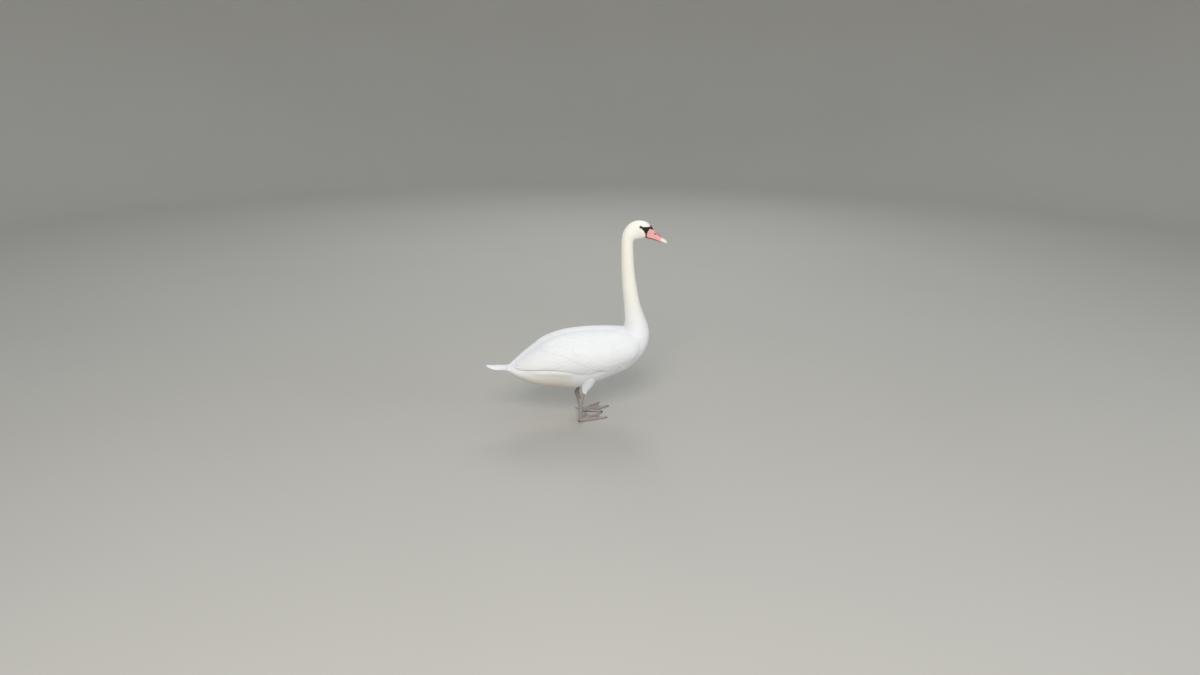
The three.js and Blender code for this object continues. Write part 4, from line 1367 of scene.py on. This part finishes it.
def leg_scales(points, normals, leg, sign):
    """How far the scales raise the leg's skin, in metres: broad plates across the front of the shank and
    the top of each toe, parted by grooves."""
    local = to_table(points)
    heel, ankle = (np.array(leg[key]) * (1, sign, 1) for key in ("heel", "ankle"))
    over_ankle = ramped(local[:, 2] - ankle[2], *SHANK_SCALE["to"])
    shank = ramped(local[:, 2], *SHANK_SCALE["from"]) * (1 - over_ankle)
    groove = scale_groove(local[:, 2] - heel[2], SHANK_SCALE["pitch"])
    raised = -SHANK_SCALE["deep"] * groove * shank * np.clip(normals[:, 0] * 1.6, 0.15, 1)
    for toe in TOES.values():
        way = toe_way(toe, leg, sign)
        off = local[:, :2] - heel[:2]
        run = off @ way
        beside = np.abs(off @ np.array([-way[1], way[0]]))
        radius = toe["root"] + (toe["tip"] - toe["root"]) * np.clip(run / toe["length"], 0, 1)
        on_toe = (run > TOE_SCALE["from"]) & (run < toe["length"] + TOE_SCALE["past"])
        on_toe &= (beside < radius * TOE_SCALE["wide"]) & (local[:, 2] < TOE_SCALE["below"])
        groove = scale_groove(run, TOE_SCALE["pitch"])
        raised = np.where(on_toe, -TOE_SCALE["deep"] * groove * np.clip(normals[:, 2] * 1.5, 0, 1), raised)
    return raised * MM


def web_field(points, lines):
    """1 on the web and 0 on the toes, by the distance over the floor from the nearest toe's line."""
    local = to_table(points)
    nearest = np.full(len(points), np.inf)
    for centre, _ in lines:
        for spot in smooth_rows(centre, np.linspace(0, 4, 60)):
            nearest = np.minimum(nearest, np.hypot(*(local[:, :2] - spot[:2]).T))
    return ramped(nearest, *WEB["beside"]) * (local[:, 2] < WEB["below"])


def legs(settings, material):
    """Shin, shank, toes and web of each leg melted into one skin, with its scales raised."""
    for side, sign in SIDES.items():
        leg = LEGS[side]
        tuft, ankle, heel = (np.array(leg[key], float) * (1, sign, 1) for key in ("tuft", "ankle", "heel"))
        shin = [ankle + (tuft - ankle) * t for t in SHIN["places"]]
        shank = [ankle + (heel - ankle) * t for t in TARSUS["places"]]
        inner, middle, outer, _ = lines = [toe_line(toe, leg, sign) for toe in TOES.values()]
        parts = [tube(shin, SHIN["radii"], SHIN["wide"])]
        parts.append(tube(shank, TARSUS["radii"], TARSUS["wide"], sides=32))
        parts += [tube(points, radii, sides=20) for points, radii in lines]
        parts += [web_part(inner, middle), web_part(middle, outer)]
        points, normals, triangles = fused(f"leg_rough_{side}", parts, settings.voxel, 3)
        points = points + normals * leg_scales(points, normals, leg, sign)[:, None]
        points[:, 2] = np.maximum(points[:, 2], 0)
        fields = {"web": web_field(points, lines)}
        made = make_object(f"leg_{side}", points, [triangles], fields=fields, sharp=75)
        place(made, "leg_skin", material, f"shin_{side}", f"tarsus_{side}", f"foot_{side}")


def claws(material):
    """Short curved claws, each tapering from its toe to a blunt point near the ground."""
    for side, sign in SIDES.items():
        parts = []
        for toe in TOES.values():
            points, radii = toe_line(toe, LEGS[side], sign)
            end, radius = points[-1], radii[-1]
            step = end - points[-2]
            way = unit(step * (1, 1, 0))
            climb = step[2] / length_of(step[:2])
            run = np.array([CLAW["back"], *(share * toe["claw"] for share in CLAW["run"])])
            height = np.array([*(radius * share for share in CLAW["height"]), CLAW["point"]])
            height += end[2] - radius * SOLE
            height[0] += CLAW["back"] * climb
            line = end * (1, 1, 0) + way * run[:, None]
            line[:, 2] += height
            radii = radius * np.array(CLAW["radii"])
            parts.append(tube(line, radii, CLAW["wide"], sides=16, rows_per_point=5))
        points, faces = joined(parts)
        points[:, 2] = np.maximum(points[:, 2], 0)
        made = make_object(f"claws_{side}", points, faces)
        place(made, "claw_horn", material, *[f"claw_{side}_{name}" for name in TOES])


# ---------------------------------------------------------------- materials
# Nodes by what they do: Blender's kind, fixed settings, the inputs that values fill in this order, and
# the output.
NODES = {
    "place": ("ShaderNodeTexCoord", {}, (), "Object"),
    "map": ("ShaderNodeUVMap", {}, (), "UV"),
    "field": ("ShaderNodeAttribute", {}, (), "Fac"),
    "x": ("ShaderNodeSeparateXYZ", {}, ("Vector",), "X"),
    "y": ("ShaderNodeSeparateXYZ", {}, ("Vector",), "Y"),
    "z": ("ShaderNodeSeparateXYZ", {}, ("Vector",), "Z"),
    "noise": ("ShaderNodeTexNoise", {}, ("Vector", "Scale", "Detail"), "Fac"),
    "cells": ("ShaderNodeTexVoronoi", {}, ("Vector", "Scale"), "Distance"),
    "blend": ("ShaderNodeMix", {"data_type": "RGBA"}, (0, 6, 7), 2),
    "ramp": ("ShaderNodeMapRange", {"interpolation_type": "SMOOTHSTEP"}, (0, 1, 2, 3, 4), 0),
    "line": ("ShaderNodeMapRange", {"interpolation_type": "LINEAR"}, (0, 1, 2, 3, 4), 0),
    "sum": ("ShaderNodeMath", {"operation": "ADD"}, (0, 1), 0),
    "less": ("ShaderNodeMath", {"operation": "SUBTRACT"}, (0, 1), 0),
    "times": ("ShaderNodeMath", {"operation": "MULTIPLY"}, (0, 1), 0),
    "size": ("ShaderNodeMath", {"operation": "ABSOLUTE"}, (0, 1), 0),
    "wave": ("ShaderNodeMath", {"operation": "SINE"}, (0, 1), 0),
    "bump": ("ShaderNodeBump", {}, ("Strength", "Distance", "Height"), "Normal"),
}


def add_node(tree, name, *values, **settings):
    """Adds one of NODES to a tree, sets or links its inputs from values, and gives its output. blend
    mixes two colours by a factor; ramp and line map low..high to 0..1, or to two more values, and hold it
    past the ends."""
    kind, fixed, inputs, output = NODES[name]
    made = tree.nodes.new(kind)
    for key, value in {**fixed, **settings}.items():
        setattr(made, key, value)
    for key, value in zip(inputs, values):
        if isinstance(value, bpy.types.NodeSocket):
            tree.links.new(value, made.inputs[key])
        else:
            made.inputs[key].default_value = value
    return made.outputs[output]


def start_material(name, **values):
    """A material with one Principled shader whose constants are set on its sockets, and add_node for its
    tree."""
    material = bpy.data.materials.new(name)
    material.use_nodes = True
    tree = material.node_tree
    for key, value in values.items():
        tree.nodes["Principled BSDF"].inputs[key.replace("_", " ")].default_value = value
    return material, functools.partial(add_node, tree)


def end_material(material, colour, bump=None):
    """Links the colour, and the bump where there is one, to the material's shader."""
    tree = material.node_tree
    shader = tree.nodes["Principled BSDF"]
    tree.links.new(colour, shader.inputs["Base Color"])
    if bump:
        tree.links.new(bump, shader.inputs["Normal"])
    return material


def plumage_colour(add, settings):
    """White by place: cool on the back and wings, a painted bluish cast of sky light; warm on the neck,
    partly real staining and partly painted warm light; creamy under the rear of the belly, partly real
    staining and partly painted shade.
    """
    where = add("place")
    height = add("z", where)
    # under: the rear belly's cream, partly real staining and partly painted shade.
    under = add("times", add("ramp", height, *BELLY_STAIN_AND_PAINTED_SHADE), add("ramp", add("x", where), *REAR))
    white = add("blend", add("ramp", height, *NECK_STAIN_AND_PAINTED_LIGHT), settings.back, settings.neck)
    white = add("blend", under, white, settings.belly)
    blotches = add("ramp", add("noise", where, BLOTCHES, 3.0), 0.45, 0.75, 0.0, 0.06)
    return add("blend", blotches, white, linear(DUSTY))


def feather_material(name, settings, barbs):
    """White keratin vanes: matt, slightly soft at grazing angles. barbs is the distance between the drawn
    barbs in metres, coarser than real ones so that they show, or 0 for small feathers, whose barbs are
    too fine to show."""
    material, add = start_material(
        name, Roughness=0.7, IOR=1.45, Specular_IOR_Level=0.35, Sheen_Weight=0.12, Sheen_Roughness=0.5
    )
    shade = add("line", add("field", attribute_name="tone"), -2.5, 2.5, 0.07, 0.0)
    colour = add("blend", shade, plumage_colour(add, settings), linear(SHADED))
    bump = None
    if barbs:
        vane = add("map", uv_map="Vane")
        side = add("size", add("x", vane), 0.0)
        colour = add("blend", add("ramp", side, 0.0012, 0.0004, 0.0, 0.35), colour, linear(SHAFT))
        turns = add("times", add("less", add("y", vane), side), 2 * math.pi / barbs)
        bump = add("bump", 0.2, 0.3 * MM, add("wave", turns, 0.0))
    return end_material(material, colour, bump)


def skin_material(settings, plumage):
    """Bird skin: pale under the feathers, black and finely pebbled, about 1 mm to the pebble, on the
    face."""
    material, add = start_material("Bare face skin and covered skin", Roughness=0.5, IOR=1.42)
    bare = add("ramp", add("field", attribute_name="bare"), -0.5, 0.1)
    colour = add("blend", bare, plumage_colour(add, plumage), settings.black)
    return end_material(material, colour, add("bump", 0.4, 0.3 * MM, add("cells", add("place"), PEBBLES)))


def bill_material(settings):
    """Horn over flesh: smooth and faintly streaked, deeper pink along the ridge as painted shade, black at
    the mouth's edge, under the knob and in the nostrils, with a pale tip that is a painted highlight of
    glare. BillMap goes round the bill across it and along the bill up it."""
    material, add = start_material(
        "Bill horn, painted shade and glare", Roughness=0.38, IOR=1.54, Coat_Weight=0.15, Coat_Roughness=0.3, Subsurface_Weight=0.08,
        Subsurface_Scale=0.004,
    )
    on_bill = add("map", uv_map="BillMap")
    along = add("y", on_bill)
    from_top = add("size", add("less", add("x", on_bill), 0.5), 0.0)

    def patch(key):
        """1 within one of BILL_TONES, and 0 outside it."""
        across, up = BILL_TONES[key]
        return add("times", add("ramp", from_top, *across), add("ramp", along, *up))

    # Painted shade: darker pink along the bill's ridge.
    colour = add("blend", patch("ridge"), settings.horn, settings.ridge)
    streaks = add("noise", add("place"), STREAKS, 4.0)
    colour = add("blend", add("ramp", streaks, 0.4, 0.7, 0.0, 0.22), colour, settings.ridge)
    # Painted highlight: the tip paled as glare off the wet horn.
    slanted = add("sum", along, add("times", from_top, 0.3))
    colour = add("blend", add("ramp", slanted, *TIP_GLARE_HIGHLIGHT), colour, settings.tip)
    black = [patch("edge"), patch("crown")]
    black.append(add("ramp", add("field", attribute_name="hole"), 0.25, 0.75))
    for mask in black:
        colour = add("blend", mask, colour, settings.black)
    return end_material(material, colour, add("bump", 0.25, 0.4 * MM, streaks))


def plain_skin_material(name, colour, scale, roughness):
    """Bare black skin or horn with a fine grain: scale is the number of grains to the metre."""
    material, add = start_material(name, Roughness=roughness, IOR=1.45)
    grain = add("noise", add("place"), scale, 4.0)
    lighter = [min(1.0, part * 1.9 + 0.01) for part in colour[:3]] + [1.0]
    colour = add("blend", add("ramp", grain, 0.4, 0.75), colour, lighter)
    return end_material(material, colour, add("bump", 0.3, 0.3 * MM, grain))


def eye_material(settings):
    """A wet eyeball: dark brown iris round a black pupil under a clear coat, by the angle from where it
    looks."""
    material, add = start_material("Eye", Roughness=0.12, IOR=1.38, Coat_Weight=1.0, Coat_Roughness=0.02)
    polar = add("field", attribute_name="polar")
    iris = add("blend", add("ramp", polar, *PUPIL_ENDS), linear(PUPIL), settings.iris)
    return end_material(material, add("blend", add("ramp", polar, *IRIS_ENDS), iris, linear(EYE_RIM)))


def leg_material(settings):
    """Scaly leg skin: cells of about 2.5 mm parted by darker creases, and darker, leathery web."""
    material, add = start_material(
        "Scaly leg skin", Roughness=0.5, IOR=1.45, Subsurface_Weight=0.05, Subsurface_Scale=0.003
    )
    where = add("place")
    scales = add("cells", where, SCALES, feature="DISTANCE_TO_EDGE")
    colour = add("blend", add("field", attribute_name="web"), settings.skin, settings.web)
    colour = add("blend", add("ramp", scales, 0.0, 0.12, 0.4, 0.0), colour, linear(CREASE))
    patches = add("ramp", add("noise", where, LEG_PATCHES, 3.0), 0.45, 0.7, 0.0, 0.3)
    colour = add("blend", patches, colour, linear(PALE_PATCH))
    return end_material(material, colour, add("bump", 0.5, 0.5 * MM, scales))


# ---------------------------------------------------------------- stage
FLOOR = {"fillet": 2.0, "wall": 5.5, "under": 0.4 * MM, "hub": 0.05}  # metres
ROOM_LIGHT = 0.65
AIM = Vector((0.0, 0.0, 0.45))  # what the lights point at, in metres
LIGHTS = {  # place and width in metres, power as a share of the key light's, colour
    "key": ((-1.5, -4.8, 3.9), 2.6, 1.0, "FFFBF3"),
    "fill": ((4.2, -3.6, 1.6), 3.0, 0.2, "F6F8FF"),
    "rim": ((1.5, 4.5, 4.6), 2.6, 0.35, "FFFFFF"),
}
CAMERA = {"at": (-850.9, -3852.8, 1718.0), "down": 18.52, "right": 14.0, "lens": 27.0}  # mm and degrees


def floor_grid(radius):
    """A disc about the origin whose rim curves up as a quarter circle into a wall, as rings from its
    middle out."""
    swing = np.linspace(0, np.pi / 2, 16)[1:]
    bend = FLOOR["fillet"]
    flat = np.linspace(FLOOR["hub"], radius - bend, 12)
    r = np.concatenate([flat, flat[-1] + bend * np.sin(swing), [radius]])
    z = np.concatenate([0 * flat, bend * (1 - np.cos(swing)), [FLOOR["wall"]]])
    turns = circle(96)
    r, z = r[:, None], z[:, None]
    return np.stack(np.broadcast_arrays(r * np.cos(turns), r * np.sin(turns), z - FLOOR["under"]), -1)


def add_floor(settings):
    """The floor, painted matt and very faintly cloudy."""
    points, faces = loft(floor_grid(settings.radius))
    made = make_object("floor", points, faces[:2])
    material, add = start_material("Matt painted floor", Roughness=0.9)
    darker = [part * 0.94 for part in settings.floor[:3]] + [1.0]
    end_material(material, add("blend", add("noise", add("place"), 0.8, 2.0), settings.floor, darker))
    made.data.materials.append(material)


def add_object(name, data, place_at, turn):
    """An object at a place in metres, with a turn as an Euler."""
    made = bpy.data.objects.new(name, data)
    made.location = place_at
    made.rotation_euler = turn
    bpy.context.scene.collection.objects.link(made)
    return made


def stage(settings):
    """The floor, the light of the room, three soft lights and the camera."""
    add_floor(settings)
    scene = bpy.context.scene
    scene.view_settings.view_transform = "Standard"
    scene.world = bpy.data.worlds.new("Pale room")
    scene.world.use_nodes = True
    background = scene.world.node_tree.nodes["Background"]
    background.inputs["Color"].default_value = linear(ROOM)
    background.inputs["Strength"].default_value = ROOM_LIGHT
    for name, (at, size, share, code) in LIGHTS.items():
        data = bpy.data.lights.new(name, "AREA")
        data.shape = "DISK"
        data.size = size
        data.energy = settings.key * share
        data.color = linear(code)[:3]
        add_object(name, data, at, (AIM - Vector(at)).to_track_quat("-Z", "Y").to_euler())
    data = bpy.data.cameras.new("camera")
    data.lens = CAMERA["lens"]
    turn = (math.radians(90 - CAMERA["down"]), 0, -math.radians(CAMERA["right"]))
    scene.camera = add_object("camera", data, np.array(CAMERA["at"]) * MM, turn)


# ---------------------------------------------------------------- operators
class SWAN_OT_skin(Operator):
    """Makes the one skin of head, neck, trunk and thighs"""

    bl_idname = "swan.skin"
    bl_label = "Skin"

    def execute(self, context):
        skin(skin_material(context.scene.swan_face, context.scene.swan_plumage))
        return {"FINISHED"}


class SWAN_OT_eyes(Operator):
    """Makes the eyeballs and their lids"""

    bl_idname = "swan.eyes"
    bl_label = "Eyes"

    def execute(self, context):
        face = context.scene.swan_face
        eyes(eye_material(face), plain_skin_material("Eyelid skin", linear(EYELID), 700.0, 0.45))
        return {"FINISHED"}


class SWAN_OT_bill(Operator):
    """Makes both halves of the bill, its knob and its nail"""

    bl_idname = "swan.bill"
    bl_label = "Bill"

    def execute(self, context):
        face = context.scene.swan_face
        horn = bill_material(face)
        upper_bill(horn)
        lower_bill(horn)
        knob(plain_skin_material("Black knob skin", face.black, 600.0, 0.4))
        # The nail is painted pale as a highlight of glare.
        nail(plain_skin_material("Nail horn, painted pale glare", linear(NAIL_GLARE), 300.0, 0.35))
        return {"FINISHED"}


class SWAN_OT_legs(Operator):
    """Makes the scaly skin of both legs and their claws"""

    bl_idname = "swan.legs"
    bl_label = "Legs and claws"

    def execute(self, context):
        settings = context.scene.swan_legs
        legs(settings, leg_material(settings))
        claws(plain_skin_material("Claw horn", settings.claw, 500.0, 0.4))
        return {"FINISHED"}


class SWAN_OT_plumage(Operator):
    """Lays all the feathers: body, thighs, wings and tail"""

    bl_idname = "swan.plumage"
    bl_label = "Plumage"

    def execute(self, context):
        settings = context.scene.swan_plumage
        contour = feather_material("Contour feathers", settings, 0.0)
        quill = feather_material("Quill feathers", settings, BARB)
        body_feathers(settings, contour)
        thigh_feathers(settings, contour)
        wing_feathers(settings, contour, quill)
        tail_feathers(settings, quill)
        return {"FINISHED"}


class SWAN_OT_stage(Operator):
    """Sets up the floor, the lights and the camera"""

    bl_idname = "swan.stage"
    bl_label = "Stage"

    def execute(self, context):
        stage(context.scene.swan_stage)
        return {"FINISHED"}


OPERATORS = [SWAN_OT_skin, SWAN_OT_eyes, SWAN_OT_bill, SWAN_OT_legs, SWAN_OT_plumage, SWAN_OT_stage]


class SWAN_PT_panel(Panel):
    """Lists the swan's settings and the steps that build it"""

    bl_idname = "SWAN_PT_panel"
    bl_label = "Mute swan"
    bl_space_type = "VIEW_3D"
    bl_region_type = "UI"
    bl_category = "Swan"

    def draw(self, context):
        for name, kind in SETTINGS.items():
            box = self.layout.box()
            for setting in kind.__annotations__:
                box.prop(getattr(context.scene, name), setting)
        for operator in OPERATORS:
            self.layout.operator(operator.bl_idname)


def register():
    """Registers the settings, the operators and the panel."""
    for name, kind in SETTINGS.items():
        bpy.utils.register_class(kind)
        setattr(bpy.types.Scene, name, PointerProperty(type=kind))
    for kind in [*OPERATORS, SWAN_PT_panel]:
        bpy.utils.register_class(kind)


def unregister():
    """Takes them out again."""
    for kind in [SWAN_PT_panel, *reversed(OPERATORS)]:
        bpy.utils.unregister_class(kind)
    for name, kind in reversed(SETTINGS.items()):
        delattr(bpy.types.Scene, name)
        bpy.utils.unregister_class(kind)


def main():
    """Builds the whole scene."""
    register()
    bpy.ops.swan.stage()
    bpy.ops.swan.skin()
    bpy.ops.swan.eyes()
    bpy.ops.swan.bill()
    bpy.ops.swan.legs()
    bpy.ops.swan.plumage()


if __name__ == "__main__":
    main()
